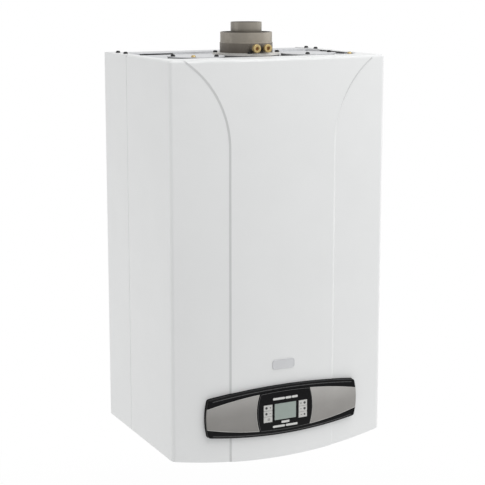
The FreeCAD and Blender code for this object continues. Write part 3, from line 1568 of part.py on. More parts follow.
def key_places():
    for side, word in ((-1, "left"), (1, "right")):
        for row, height in ((1, "upper"), (0, "middle"), (-1, "lower")):
            yield f"{word}_{height}_key", side * s.key_centre, s.key_middle + row * s.key_pitch


def key_block(x, z, clearance):
    width, height = s.key_width / 2 + clearance, s.key_height / 2 + clearance
    return block(x - width, x + width, -panel_depth_front, -panel_depth_back, z - height, z + height)


def screen_block(clearance):
    reach = s.screen_half_width + clearance
    return block(-reach, reach, -panel_depth_front, -panel_depth_back, s.screen_bottom - clearance,
                 s.screen_bottom + s.screen_height + clearance)


def make_panel():
    proud = s.panel_proud
    bezel = bezel_form()
    beyond = -(proud + panel_front_margin / 2)
    recess_slab = bowed_slab("wing_recess_slab", -(proud - s.wing_recess), beyond)
    recesses = []
    for side in SIDES:
        outline = wing_outline(side, s.part_gap, OVERCUT)
        recesses.append(common(facing_prism("wing_recess", outline, panel_depth_back, panel_depth_front),
                               recess_slab))
    dock = common(
        facing_prism("unit_dock", unit_outline(s.fit_gap), panel_depth_back, panel_depth_front),
        bowed_slab("unit_dock_slab", s.unit_depth - proud, beyond))
    node("panel_bezel", cut(bezel, *recesses, dock))

    wing_back = -(proud - s.wing_recess + s.seat_gap)
    wing_slab = bowed_slab("wing_slab", wing_back, -(proud - s.wing_below))
    wings = []
    for side in SIDES:
        wing = facing_prism("wing", wing_outline(side, 0 * proud, 0 * proud), panel_depth_back,
                            panel_depth_front)
        wings.append(common(common(wing, wing_slab), bezel))
    node("panel_wings", group(*wings))

    unit = common(
        facing_prism("unit", unit_outline(0 * proud), panel_depth_back, panel_depth_front),
        bowed_slab("unit_slab", s.unit_depth - proud - s.fit_gap, unit_face))
    well_slab = bowed_slab("key_well_slab", unit_face + s.key_depth + 2 * s.key_travel, beyond)
    screen_slab = bowed_slab("screen_well_slab", unit_face + s.screen_depth, beyond)
    wells = [common(key_block(x, z, s.fit_gap), well_slab) for _, x, z in key_places()]
    node("control_unit", cut(unit, *wells, common(screen_block(s.part_gap), screen_slab)))
    window_back = unit_face + s.screen_depth - s.seat_gap
    node("display_window", common(
        screen_block(0 * proud), bowed_slab("screen_slab", window_back, unit_face + s.screen_below)))
    key_slab = bowed_slab("key_slab", unit_face - s.key_proud + s.key_depth, unit_face - s.key_proud)
    for label, x, z in key_places():
        node(label, common(key_block(x, z, 0 * proud), key_slab))


make_rear_frame()
make_side_panel("left_side_panel", -1)
make_side_panel("right_side_panel", 1)
make_front_cover()
make_cover_screws()
make_frame_rails()
make_top_plate()
make_screws()
make_chamber_box()
make_chamber_lid()
make_gaskets()
make_flue_adaptor()
make_flue_inner_pipe()
make_sampling_plugs()
make_intake_plates()
make_fan()
make_flue_hood()
make_heat_exchanger()
make_combustion_chamber()
make_burner()
make_pressure_switch()
make_expansion_vessel()
make_connections()
make_hydraulic_blocks()
make_pump()
make_gas_valve()
make_water_pipes()
make_valves()
make_control_box()
make_panel()

doc.recompute()
for thing in doc.Objects:
    if "Invalid" in thing.State or "Error" in thing.State:
        raise RuntimeError(f"{thing.Label} failed: {thing.State}")
for label, piece in nodes.items():
    if piece.Shape.isNull() or not piece.Shape.isValid():
        raise RuntimeError(f"{label} has no valid shape")

os.makedirs("parts", exist_ok=True)
for label, piece in nodes.items():
    piece.Shape.exportStep(f"parts/{label}.step")
print(len(nodes), "pieces,", sum(len(piece.Shape.Solids) for piece in nodes.values()), "solids")
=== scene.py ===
import json
import math

import bmesh
import bpy
from mathutils import Matrix, Vector


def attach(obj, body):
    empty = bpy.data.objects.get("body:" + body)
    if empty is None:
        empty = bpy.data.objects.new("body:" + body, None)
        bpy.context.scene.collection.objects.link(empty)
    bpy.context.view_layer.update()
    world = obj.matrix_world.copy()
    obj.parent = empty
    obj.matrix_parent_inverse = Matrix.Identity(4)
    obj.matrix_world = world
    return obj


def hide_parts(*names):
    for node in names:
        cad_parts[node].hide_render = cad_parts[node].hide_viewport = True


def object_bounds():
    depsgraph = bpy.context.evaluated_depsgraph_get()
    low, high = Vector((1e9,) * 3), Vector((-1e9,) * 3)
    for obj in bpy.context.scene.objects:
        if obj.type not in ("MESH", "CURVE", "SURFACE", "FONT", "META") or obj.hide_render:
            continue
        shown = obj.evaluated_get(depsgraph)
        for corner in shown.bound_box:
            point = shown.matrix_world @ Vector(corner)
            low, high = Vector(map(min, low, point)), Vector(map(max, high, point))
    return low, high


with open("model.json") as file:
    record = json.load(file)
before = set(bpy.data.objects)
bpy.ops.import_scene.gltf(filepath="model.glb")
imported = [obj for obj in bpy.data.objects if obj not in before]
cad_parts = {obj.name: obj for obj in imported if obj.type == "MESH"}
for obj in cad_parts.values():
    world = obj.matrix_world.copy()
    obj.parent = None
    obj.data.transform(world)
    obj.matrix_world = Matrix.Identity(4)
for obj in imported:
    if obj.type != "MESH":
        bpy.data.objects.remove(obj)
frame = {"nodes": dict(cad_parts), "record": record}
nodes = frame["nodes"]
cad_low, cad_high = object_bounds()
MM = 0.001

# Sizes of the case that the added pieces follow, in millimetres. Heights are above the case's lowest point.
HANG_HEIGHT = 720.0
HALF_WIDTH = 225.0
CASE_HEIGHT = 763.0
CASE_DEPTH = 333.5
FRONT_BOW = 14.0
BOW_RADIUS = (HALF_WIDTH ** 2 + FRONT_BOW ** 2) / (2 * FRONT_BOW)
BOTTOM_DIP = 20.0
TOP_ROUND = 5.0

# The front's raised field: its rise, half its width, and where its edges bend outward
FIELD_RISE = 1.5
FIELD_HALF = 108.0
FIELD_BEND = 600.0
FIELD_BEND_RADIUS = 194.0

# The control panel's lens shape, with half its height at the middle and at its ends
PANEL_CENTRE = 96.0
PANEL_HALF_LENGTH = 157.0
PANEL_HALF_HEIGHT = 48.0
PANEL_END_HALF_HEIGHT = 36.5

# How far the panel stands before the cover, and its unit and keys before what they sit on
PANEL_PROUD = 10.0
WING_RECESS = 0.4
UNIT_PROUD = 1.0
KEY_PROUD = 0.9

# The same faces as insets behind the cover's own, so that those before it are negative
PANEL_FACE = -PANEL_PROUD
WING_FACE = PANEL_FACE + WING_RECESS
UNIT_FACE = PANEL_FACE - UNIT_PROUD
KEY_FACE = UNIT_FACE - KEY_PROUD


def bow(x, inset):
    """The Y of the bowed front at x, for a face that lies inset behind the cover's own."""
    return BOW_RADIUS - CASE_DEPTH - math.sqrt((BOW_RADIUS - inset) ** 2 - x * x)


def place(x, y, z):
    """A point from millimetres, with its height above the lowest point, to the row's frame."""
    return Vector((x * MM, y * MM, (z - HANG_HEIGHT) * MM))


def panel_half_height(x):
    """Half the height of the panel's lens shape at x."""
    rise = PANEL_HALF_HEIGHT - PANEL_END_HALF_HEIGHT
    radius = (PANEL_HALF_LENGTH ** 2 + rise ** 2) / (2 * rise)
    return PANEL_HALF_HEIGHT - radius + math.sqrt(radius ** 2 - x * x)


def linear(red, green, blue):
    """A colour from the usual 0 to 255 values to linear light."""
    def channel(value):
        value /= 255
        return value / 12.92 if value <= 0.04045 else ((value + 0.055) / 1.055) ** 2.4
    return channel(red), channel(green), channel(blue)


# Materials

# Most values of a noise lie between these two.
NOISE_LOW, NOISE_HIGH = 0.3, 0.7
LEAST_ROUGHNESS = 0.03
CLOUD_SCALE, CLOUD_AMOUNT = 14, 0.008


def add_node(tree, kind, inputs=(), **settings):
    """A shader node with its settings. Each input is a socket to link or a value."""
    made = tree.nodes.new(kind)
    for name, value in settings.items():
        setattr(made, name, value)
    for key, value in dict(inputs).items():
        if isinstance(value, bpy.types.NodeSocket):
            tree.links.new(value, made.inputs[key])
        else:
            made.inputs[key].default_value = value
    return made


class Finish:
    """One procedural material: a principled shader fed by noise in the part's own coordinates."""

    def __init__(self, name, colour, roughness, metallic=0.0):
        self.material = bpy.data.materials.new(name)
        self.material.use_nodes = True
        self.tree = self.material.node_tree
        self.shader = self.tree.nodes["Principled BSDF"]
        self.colour, self.roughness = colour, roughness
        self.set({"Base Color": (*colour, 1), "Roughness": roughness, "Metallic": metallic})
        self.points = self.node("ShaderNodeTexCoord").outputs["Object"]

    def set(self, inputs):
        """Gives the shader's sockets their values."""
        for name, value in inputs.items():
            self.shader.inputs[name].default_value = value
        return self

    def feed(self, name, socket):
        """Links a socket to one of the shader's."""
        self.tree.links.new(socket, self.shader.inputs[name])

    def node(self, kind, inputs=(), **settings):
        """Adds a node to this material."""
        return add_node(self.tree, kind, inputs, **settings)

    def noise(self, scale, detail=3.0, stretch=(1, 1, 1)):
        """A soft noise from 0 to 1."""
        mapped = self.node("ShaderNodeMapping", {"Vector": self.points, "Scale": stretch})
        made = self.node("ShaderNodeTexNoise", {
            "Vector": mapped.outputs["Vector"], "Scale": scale, "Detail": detail,
        })
        return made.outputs["Fac"]

    def cells(self, scale):
        """A pattern of cells, each with a value of its own."""
        return self.node("ShaderNodeTexVoronoi", {"Vector": self.points, "Scale": scale}).outputs["Color"]

    def spread(self, source, low, high):
        """Stretches a noise to the values from low to high."""
        made = self.node("ShaderNodeMapRange", {
            "Value": source, "From Min": NOISE_LOW, "From Max": NOISE_HIGH, "To Min": low, "To Max": high,
        })
        return made.outputs["Result"]

    def near(self, upright, reach, shares):
        """A share that changes with the distance from an upright line.

        The line is given by its X and Y, and reach by the distances of both shares, in millimetres."""
        x, y = upright
        foot = (x * MM, y * MM, 0)
        away = self.node("ShaderNodeVectorMath", {0: self.points, 1: foot}, operation="SUBTRACT")
        level = self.node("ShaderNodeVectorMath", {0: away.outputs[0], 1: (1, 1, 0)}, operation="MULTIPLY")
        length = self.node("ShaderNodeVectorMath", {0: level.outputs[0]}, operation="LENGTH").outputs["Value"]
        made = self.node("ShaderNodeMapRange", {
            "Value": length, "From Min": reach[0] * MM, "From Max": reach[1] * MM,
            "To Min": shares[0], "To Max": shares[1],
        }, interpolation_type="SMOOTHSTEP")
        return made.outputs["Result"]

    def mottle(self, source, amount):
        """Varies the colour between two shades with a noise."""
        ramp = self.node("ShaderNodeValToRGB", {"Fac": source})
        ends = (NOISE_LOW, 1 - amount), (NOISE_HIGH, 1 + amount)
        for element, (position, share) in zip(ramp.color_ramp.elements, ends):
            element.position = position
            element.color = (*(min(channel * share, 1) for channel in self.colour), 1)
        self.feed("Base Color", ramp.outputs["Color"])

    def bands(self, source, amount, stops, painted_shades=()):
        """Colours by height, from stops of a height in millimetres and a colour, streaked with a noise.

        Each painted shade is a socket that the colour is multiplied by."""
        heights = [(height - HANG_HEIGHT) * MM for height, _ in stops]
        colours = [(*linear(*colour), 1) for _, colour in stops]
        low, high = heights[0], heights[-1]
        level = self.node("ShaderNodeSeparateXYZ", {"Vector": self.points}).outputs["Z"]
        share = self.node("ShaderNodeMapRange", {"Value": level, "From Min": low, "From Max": high})
        ramp = self.node("ShaderNodeValToRGB", {"Fac": share.outputs["Result"]})
        elements = ramp.color_ramp.elements
        for height, colour in zip(heights[1:-1], colours[1:-1]):
            elements.new((height - low) / (high - low)).color = colour
        elements[0].color, elements[-1].color = colours[0], colours[-1]
        shown = ramp.outputs["Color"]
        for factor in (self.spread(source, 1 - amount, 1 + amount), *painted_shades):
            scaled = self.node("ShaderNodeVectorMath", {0: shown, "Scale": factor}, operation="SCALE")
            shown = scaled.outputs["Vector"]
        self.feed("Base Color", shown)
        return self

    def speckle(self, source, amount):
        """Varies the roughness round its own value with a noise."""
        low, high = max(self.roughness - amount, LEAST_ROUGHNESS), min(self.roughness + amount, 1)
        self.feed("Roughness", self.spread(source, low, high))

    def bump(self, source, strength, distance):
        """Gives the surface a fine relief."""
        made = self.node("ShaderNodeBump", {"Height": source, "Strength": strength, "Distance": distance})
        self.feed("Normal", made.outputs["Normal"])


def paint(name, colour, roughness, peel=0.06):
    """Sprayed or powder-coated metal with a faint orange peel."""
    made = Finish(name, colour, roughness)
    made.mottle(made.noise(CLOUD_SCALE), CLOUD_AMOUNT)
    made.speckle(made.noise(scale=220), amount=0.05)
    made.bump(made.noise(scale=650, detail=2), strength=peel, distance=0.0004)
    return made


def sheet_steel(name, colour, roughness, metallic, spangle):
    """Coated sheet with its crystal pattern."""
    made = Finish(name, colour, roughness, metallic)
    made.mottle(made.cells(scale=spangle), amount=0.03)
    made.speckle(made.noise(scale=160), amount=0.08)
    made.bump(made.noise(scale=900), strength=0.04, distance=0.0003)
    return made


def brushed(name, colour, roughness, lines, metallic=1.0):
    """Metal with fine scratches that run one way."""
    made = Finish(name, colour, roughness, metallic)
    scratches = made.noise(scale=700, detail=2, stretch=lines)
    made.mottle(made.noise(scale=25), amount=0.05)
    made.speckle(scratches, amount=0.1)
    made.bump(scratches, strength=0.06, distance=0.0002)
    return made


def casting(name, colour, roughness, metallic, grain):
    """Sand-cast or die-cast metal with a fine pebbled skin."""
    made = Finish(name, colour, roughness, metallic)
    made.mottle(made.noise(scale=45, detail=5), amount=0.12)
    made.speckle(made.noise(scale=120), amount=0.1)
    made.bump(made.noise(scale=grain, detail=4), strength=0.25, distance=0.0006)
    return made


def moulding(name, colour, roughness, grain=1100, depth=0.1):
    """Moulded plastic with a fine spark-eroded texture."""
    made = Finish(name, colour, roughness)
    made.mottle(made.noise(scale=30), amount=0.04)
    made.speckle(made.noise(scale=400), amount=0.06)
    made.bump(made.noise(scale=grain, detail=2), strength=depth, distance=0.0003)
    return made


ALONG_X, ALONG_Y, ALONG_Z = (0.03, 1, 1), (1, 0.03, 1), (1, 1, 0.03)
COAT_ROUGHNESS = 0.42
COAT_GLOSS = {"Specular IOR Level": 0.3}

# The finish of each material slot: its name, colour and roughness, then what its kind needs
FINISHES = {
    "case_white": paint("white_powder_coat", linear(229, 230, 230), COAT_ROUGHNESS).set(COAT_GLOSS),
    "galvanised": sheet_steel("zinc_sheet", linear(203, 204, 206), 0.55, metallic=0.4, spangle=140),
    "black_screw": casting("blackened_screw", (0.012, 0.012, 0.013), 0.38, metallic=0.6, grain=900),
    "brass_bright": brushed("turned_brass", linear(184, 162, 112), 0.32, ALONG_X, metallic=0.8),
    "flue_casting": casting("cast_aluminium", linear(146, 140, 128), 0.5, metallic=0.35, grain=600),
    "flue_tube": brushed("drawn_aluminium", linear(150, 143, 132), 0.45, ALONG_Z, metallic=0.35),
    "seal": moulding("seal_rubber", linear(104, 104, 105), 0.8, grain=500, depth=0.2),
    "chamber_sheet": sheet_steel("aluminised_sheet", linear(198, 199, 200), 0.45, metallic=0.85, spangle=60),
    "sight_window": Finish("sight_glass_pane", linear(230, 240, 238), 0.06),
    "fan_aluminium": brushed("spun_aluminium", linear(200, 201, 203), 0.38, ALONG_Y),
    "motor_black": paint("motor_enamel", (0.02, 0.02, 0.022), 0.42, peel=0.15),
    "copper": brushed("drawn_copper", linear(196, 121, 84), 0.34, ALONG_Z),
    "fibre_board": moulding("mineral_fibre", linear(222, 216, 204), 0.95, grain=260, depth=0.6),
    "burner_steel": brushed("heat_tinted_steel", linear(150, 146, 142), 0.4, ALONG_Y),
    "ceramic": moulding("glazed_ceramic", linear(236, 232, 224), 0.18, grain=300, depth=0.03),
    "switch_plastic": moulding("switch_case", linear(214, 212, 206), 0.45),
    "vessel_red": paint("vessel_enamel", linear(168, 38, 30), 0.34, peel=0.12),
    "pump_casting": casting("pump_iron", linear(70, 72, 76), 0.6, metallic=0.35, grain=300),
    "moulding_dark": moulding("dark_moulding", (0.028, 0.028, 0.031), 0.5),
    "stainless": brushed("stainless_sheet", linear(196, 197, 198), 0.32, ALONG_X),
    "valve_casting": casting("valve_die_casting", linear(186, 188, 190), 0.48, metallic=0.8, grain=700),
    "knob_red": moulding("red_knob", linear(178, 28, 24), 0.42),
    "knob_blue": moulding("blue_knob", linear(28, 62, 140), 0.42),
    "circuit_board": moulding("solder_mask", linear(24, 92, 52), 0.38, grain=1600, depth=0.08),
    "components": moulding("component_case", (0.035, 0.035, 0.038), 0.45),
    "panel_black": moulding("black_gloss_moulding", (0.0035, 0.0035, 0.004), 0.25, grain=1400, depth=0.02),
    "wing_grey": moulding("satin_grey_panel", linear(152, 150, 146), 0.4, grain=1500, depth=0.05),
    "display": moulding("display_pane", linear(147, 158, 152), 0.2, grain=300, depth=0.01),
    "key_grey": moulding("key_cap", linear(194, 194, 191), 0.45),
}
FINISHES["sight_window"].set({"Transmission Weight": 0.9, "IOR": 1.5})
FINISHES["sight_window"].speckle(FINISHES["sight_window"].noise(scale=60), amount=0.03)
FINISHES["panel_black"].set({"Specular IOR Level": 0.09})


# Painted shade and painted reflection on the flue and the wings, with places and heights in millimetres

FLUE_AXIS, FLUE_PAINTED_SHADE_SIDE = (0, -175), (-28, -215)
FLANGE_LOW, FLANGE_TOP, FLUE_STEP, FLUE_TOP = 762.0, 766.4, 785.0, 805.0
FLUE_BORE, PIPE_BORE, BORE_EDGE, BORE_PAINTED_SHADE = 47.6, 28.6, 0.3, 0.4
PIPE_LOW, PIPE_PAINTED_SHADE_TOP, PIPE_LIGHT_LOW, PIPE_TOP = 780.0, 804.0, 812.0, 824.0
FLANGE_EDGE, STEP_EDGE = 0.2, 0.5
STREAK_SCALE, STREAK_DETAIL, STREAK_STRETCH = 16, 2, (1, 1, 0.12)
WING_PAINTED_SHADE_SIDE, WING_PAINTED_SHADE_REACH = (-160, -330), 37.0


def shade_flue(finish, amount, stops, bore, painted_shade_reach, painted_shade_shares):
    """Streaks a flue piece by height, with painted shade in its bore and on one side."""
    finish.bands(finish.noise(STREAK_SCALE, STREAK_DETAIL, STREAK_STRETCH), amount, stops, [
        finish.near(FLUE_AXIS, (bore, bore + BORE_EDGE), (BORE_PAINTED_SHADE, 1)),
        finish.near(FLUE_PAINTED_SHADE_SIDE, painted_shade_reach, painted_shade_shares),
    ])


# Painted shade in the casting's bore and on one side of it; the flange is coloured light and the collar
# darker below its step.
shade_flue(FINISHES["flue_casting"], amount=0.16, stops=[
    (FLANGE_LOW, (214, 212, 208)),
    (FLANGE_TOP - FLANGE_EDGE, (206, 204, 199)),
    (FLANGE_TOP + FLANGE_EDGE, (98, 91, 83)),
    (FLUE_STEP - STEP_EDGE, (122, 115, 105)),
    (FLUE_STEP + STEP_EDGE, (160, 153, 141)),
    (FLUE_TOP, (161, 154, 143)),
], bore=FLUE_BORE, painted_shade_reach=(10, 75), painted_shade_shares=(0.72, 1.05))
# Painted shade in the tube's bore, on one side, and on its lower part where it stands inside the collar.
shade_flue(FINISHES["flue_tube"], amount=0.14, stops=[
    (PIPE_LOW, (70, 62, 54)),
    (PIPE_PAINTED_SHADE_TOP, (104, 97, 87)),
    (PIPE_LIGHT_LOW, (156, 150, 139)),
    (PIPE_TOP, (161, 155, 144)),
], bore=PIPE_BORE, painted_shade_reach=(30, 80), painted_shade_shares=(0.68, 1.05))
# Painted light on the wings: darker towards the bottom and the left side as painted shade, lighter towards
# the top as painted reflection.
wing = FINISHES["wing_grey"].set({"Metallic": 0.35})
wing.bands(wing.noise(scale=30), amount=0.04, stops=[
    (PANEL_CENTRE - WING_PAINTED_SHADE_REACH, (126, 124, 121)),
    (PANEL_CENTRE, (138, 136, 133)),
    (PANEL_CENTRE + WING_PAINTED_SHADE_REACH, (164, 162, 159)),
], painted_shades=[wing.near(WING_PAINTED_SHADE_SIDE, reach=(80, 260), shares=(0.92, 1.12))])

for entry in frame["record"]["subparts"]:
    surface = nodes[entry["node"]].data
    surface.materials.clear()
    surface.materials.append(FINISHES[entry["material_slot"]].material)


# Making pieces

def add_piece(name, shape, body, slot, finish=None, sharp=None):
    """Turns a bmesh into a piece that rides on a body and takes its finish from a slot.

    With an angle in sharp, edges below that angle are shaded smooth."""
    mesh = bpy.data.meshes.new(name)
    bmesh.ops.recalc_face_normals(shape, faces=shape.faces)
    shape.to_mesh(mesh)
    shape.free()
    mesh.materials.append((finish or FINISHES[slot]).material)
    piece = bpy.data.objects.new(name, mesh)
    bpy.context.scene.collection.objects.link(piece)
    if sharp:
        mesh.shade_smooth()
        mesh.set_sharp_from_angle(angle=math.radians(sharp))
    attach(piece, body)
    return piece


def turn(shape, profile, matrix, segments, wobble=None):
    """Adds a closed form turned about Z from a profile of radius and height, then moves it by a matrix.

    A profile that starts on the axis ends on it, and any other closes on itself. Wobble changes a radius."""
    rings = []
    for radius, height in profile:
        if not radius:
            rings.append([shape.verts.new(matrix @ Vector((0, 0, height)))])
            continue
        ring = []
        for step in range(segments):
            angle = 2 * math.pi * step / segments
            r = wobble(radius, height, angle) if wobble else radius
            ring.append(shape.verts.new(matrix @ Vector((r * math.cos(angle), r * math.sin(angle), height))))
        rings.append(ring)
    on_axis = len(rings[0]) == 1
    for low, high in zip(rings, rings[1:] + ([] if on_axis else rings[:1])):
        for step in range(segments):
            after = (step + 1) % segments
            corners = [low[step % len(low)], low[after % len(low)]]
            corners += [high[after % len(high)], high[step % len(high)]]
            unique = list(dict.fromkeys(corners))
            if len(unique) > 2:
                shape.faces.new(unique)


def extrude_strip(shape, columns):
    """Adds a closed solid from columns, each a ring of points, with the first and last closed off."""
    made = [[shape.verts.new(point) for point in column] for column in columns]
    for here, there in zip(made, made[1:]):
        for a in range(len(here)):
            b = (a + 1) % len(here)
            shape.faces.new((here[a], here[b], there[b], there[a]))
    shape.faces.new(made[0])
    shape.faces.new(made[-1])


WELD_DIGITS, ORDER_DIGITS = 6, 5


def islands(node):
    """The separate solids of a CAD node, each as the low and high corner of its box, from left to right."""
    mesh = nodes[node].data
    parent = list(range(len(mesh.vertices)))

    def root(i):
        while parent[i] != i:
            parent[i] = parent[parent[i]]
            i = parent[i]
        return i

    same = {}
    for vertex in mesh.vertices:
        key = tuple(round(c, WELD_DIGITS) for c in vertex.co)
        same.setdefault(key, vertex.index)
        parent[vertex.index] = root(same[key])
    for polygon in mesh.polygons:
        first = root(polygon.vertices[0])
        for other in polygon.vertices[1:]:
            parent[root(other)] = first
    boxes = {}
    for vertex in mesh.vertices:
        low, high = boxes.setdefault(root(vertex.index), (vertex.co.copy(), vertex.co.copy()))
        for axis in range(3):
            low[axis] = min(low[axis], vertex.co[axis])
            high[axis] = max(high[axis], vertex.co[axis])
    return sorted(boxes.values(), key=lambda box: tuple(round(c, ORDER_DIGITS) for c in box[0]))


# Edge slopes of the front's raised field

# A slope's width, how deep it sinks into the cover and how far it goes under the field's edge
SLOPE_WIDTH, SLOPE_SINK, SLOPE_TUCK = 3.8, 0.4, 0.4
CREST_INSET, FOOT_INSET = 0.03, 0.02

# Its ends: gaps at the cover's lower and upper edge, the height over which it fades, and its gap to the panel
SLOPE_LOW_GAP, SLOPE_TOP_GAP, SLOPE_FADE = 0.2, 2.5, 12.0
PANEL_CLEARANCE, PANEL_REACH = 1.0, 45.0
SLOPE_STEPS = 60


def front_skin(x, z, inset):
    """A point on the front of the cover, which rolls back over the rounded top edge."""
    over = max(z - (CASE_HEIGHT - TOP_ROUND), 0)
    back = TOP_ROUND - math.sqrt(TOP_ROUND ** 2 - over ** 2)
    return place(x, bow(x, inset) + back, z)


def field_column(z, side):
    """The crest, foot and underside of a slope where the field's edge has the height z."""
    climb = max(z - FIELD_BEND, 0)
    across = math.sqrt(FIELD_BEND_RADIUS ** 2 - climb ** 2)
    x = FIELD_HALF + FIELD_BEND_RADIUS - across
    out_x, out_z = across / FIELD_BEND_RADIUS, -climb / FIELD_BEND_RADIUS
    fade = min(1.0, (CASE_HEIGHT - z) / SLOPE_FADE)
    inner = x - SLOPE_TUCK * out_x, z - SLOPE_TUCK * out_z
    outer = x + SLOPE_WIDTH * out_x, z + SLOPE_WIDTH * out_z
    crest = front_skin(*inner, CREST_INSET - FIELD_RISE * fade)
    foot = front_skin(*outer, FOOT_INSET)
    under = front_skin(*inner, SLOPE_SINK)
    return [Vector((side * point.x, point.y, point.z)) for point in (crest, foot, under)]


def field_slope(name, side, finish):
    """One edge of the field, in a strip below the panel and one above it."""
    low = BOTTOM_DIP * (FIELD_HALF / HALF_WIDTH) ** 2 + SLOPE_LOW_GAP
    top = CASE_HEIGHT - SLOPE_TOP_GAP
    heights = [low + (FIELD_BEND - low) * i / SLOPE_STEPS for i in range(SLOPE_STEPS)]
    heights += [FIELD_BEND + (top - FIELD_BEND) * i / SLOPE_STEPS for i in range(SLOPE_STEPS + 1)]
    edge = panel_half_height(FIELD_HALF) + PANEL_CLEARANCE
    lower = [z for z in heights if z < PANEL_CENTRE - PANEL_REACH] + [PANEL_CENTRE - edge]
    upper = [PANEL_CENTRE + edge] + [z for z in heights if z > PANEL_CENTRE + PANEL_REACH]
    shape = bmesh.new()
    for strip in (lower, upper):
        extrude_strip(shape, [field_column(z, side) for z in strip])
    add_piece(name, shape, "front_cover", "case_white", finish, sharp=12)


def fold_painted_shade(name, painted_greys):
    """The case's paint in a fold, with painted shade as its grey by height."""
    made = paint(name, linear(228, 229, 229), COAT_ROUGHNESS).set(COAT_GLOSS)
    stops = [(height, (grey, grey + 1, grey + 1)) for height, grey in painted_greys]
    return made.bands(made.noise(CLOUD_SCALE), CLOUD_AMOUNT, stops)


# Painted shade on the field's folds: greys by height above the case's lowest point
LEFT_FOLD_PAINTED_SHADE = ((0, 210), (620, 210), (HANG_HEIGHT, 215), (CASE_HEIGHT, 220))
RIGHT_FOLD_PAINTED_SHADE = ((0, 222), (600, 221), (670, 208), (HANG_HEIGHT, 192), (CASE_HEIGHT, 206))
field_slope("field_slope_left", -1, fold_painted_shade("white_left_fold_painted_shade", LEFT_FOLD_PAINTED_SHADE))
field_slope("field_slope_right", 1, fold_painted_shade("white_right_fold_painted_shade", RIGHT_FOLD_PAINTED_SHADE))


# Screws with domed heads and crossed slots

SCREW_HEAD_RADIUS, SCREW_HEAD, SCREW_RADIUS = 4.4 * MM, 4.0 * MM, 2.0 * MM
SCREW_SEGMENTS, SCREW_SPIN = 24, 37

# Shares of the head's radius and height: its outline from crown to seat, the cross's half sizes and middle
HEAD_OUTLINE = ((0, 1), (0.45, 0.97), (0.75, 0.82), (0.93, 0.55), (1, 0.25), (1, 0))
CROSS_ARMS = ((0.62, 0.17), (0.17, 0.6))
CROSS_MIDDLE = 1.05


def loose_object(name, shape):
    """An object that is only needed while a screw is cut."""
    mesh = bpy.data.meshes.new(name)
    shape.to_mesh(mesh)
    shape.free()
    made = bpy.data.objects.new(name, mesh)
    bpy.context.scene.collection.objects.link(made)
    return made


def make_screw(shank):
    """The mesh of a screw along Z, with its seat at zero and a crossed slot cut into its head."""
    shape, tool = bmesh.new(), bmesh.new()
    outline = [(share * SCREW_HEAD_RADIUS, height * SCREW_HEAD) for share, height in HEAD_OUTLINE]
    outline += [(SCREW_RADIUS, 0), (SCREW_RADIUS, -shank), (0, -shank)]
    turn(shape, outline, Matrix.Identity(4), SCREW_SEGMENTS)
    for long, wide in CROSS_ARMS:
        arm = bmesh.ops.create_cube(tool, size=1)["verts"]
        size = (2 * long * SCREW_HEAD_RADIUS, 2 * wide * SCREW_HEAD_RADIUS, SCREW_HEAD)
        bmesh.ops.scale(tool, vec=size, verts=arm)
        bmesh.ops.translate(tool, vec=(0, 0, CROSS_MIDDLE * SCREW_HEAD), verts=arm)
    base, cutter = loose_object("screw_base", shape), loose_object("screw_cutter", tool)
    modifier = base.modifiers.new("cross", "BOOLEAN")
    modifier.operation, modifier.object, modifier.solver = "DIFFERENCE", cutter, "EXACT"
    modifier.use_self = True
    bpy.context.view_layer.update()
    result = bpy.data.meshes.new_from_object(base.evaluated_get(bpy.context.evaluated_depsgraph_get()))
    for thing in (base, cutter):
        bpy.data.objects.remove(thing)
    return result


def dress_screws(node, body, slot, facing):
    """Stands detailed screws in for a node's plain ones. Facing gives the way that each head points."""
    joined = bmesh.new()
    for number, (low, high) in enumerate(islands(node)):
        along = facing(high - low)
        axis = max(range(3), key=lambda i: abs(along[i]))
        seat = (low + high) / 2
        seat[axis] = (high[axis] - SCREW_HEAD) if along[axis] > 0 else (low[axis] + SCREW_HEAD)
        spin = Matrix.Rotation(math.radians(SCREW_SPIN * number), 4, "Z")
        turned = Vector((0, 0, 1)).rotation_difference(along).to_matrix().to_4x4()
        mesh = make_screw(high[axis] - low[axis] - SCREW_HEAD)
        mesh.transform(Matrix.Translation(seat) @ turned @ spin)
        joined.from_mesh(mesh)
        bpy.data.meshes.remove(mesh)
    piece = add_piece(f"{node}_detailed", joined, body, slot, sharp=35)
    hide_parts(node)


def upward_or_forward(size):
    """Forward for a screw that is longer from front to back than upright."""
    return Vector((0, -1, 0)) if size.y > size.z else Vector((0, 0, 1))


def downward(size):
    """Down for a screw of any size."""
    return Vector((0, 0, -1))


dress_screws("case_screws", "boiler", "black_screw", upward_or_forward)
dress_screws("brass_screws", "boiler", "brass_bright", upward_or_forward)
dress_screws("cover_screws", "front_cover", "black_screw", downward)


# Sampling plugs on the flue collar

PLUG_NECK, PLUG_EDGE = 4.6 * MM, 0.6 * MM
PLUG_SEGMENTS, CORE_SEGMENTS = 72, 32
KNURLS, KNURL_DEPTH = 36, 0.25 * MM

# Shares of the rim's radius and depths behind the plug's face in millimetres
PLUG_SEAT_SHARE = 0.94
PLUG_FRONT = ((1, 1.4), (0.86, 0), (0.5, 0), (0.38, 1.2), (0.36, 3), (0, 3))
PLUG_CORE = ((0, 3.2), (0.34, 3.2), (0.33, 1.8), (0.24, 1.2), (0.14, 1.2), (0.12, 2.6), (0, 2.6))


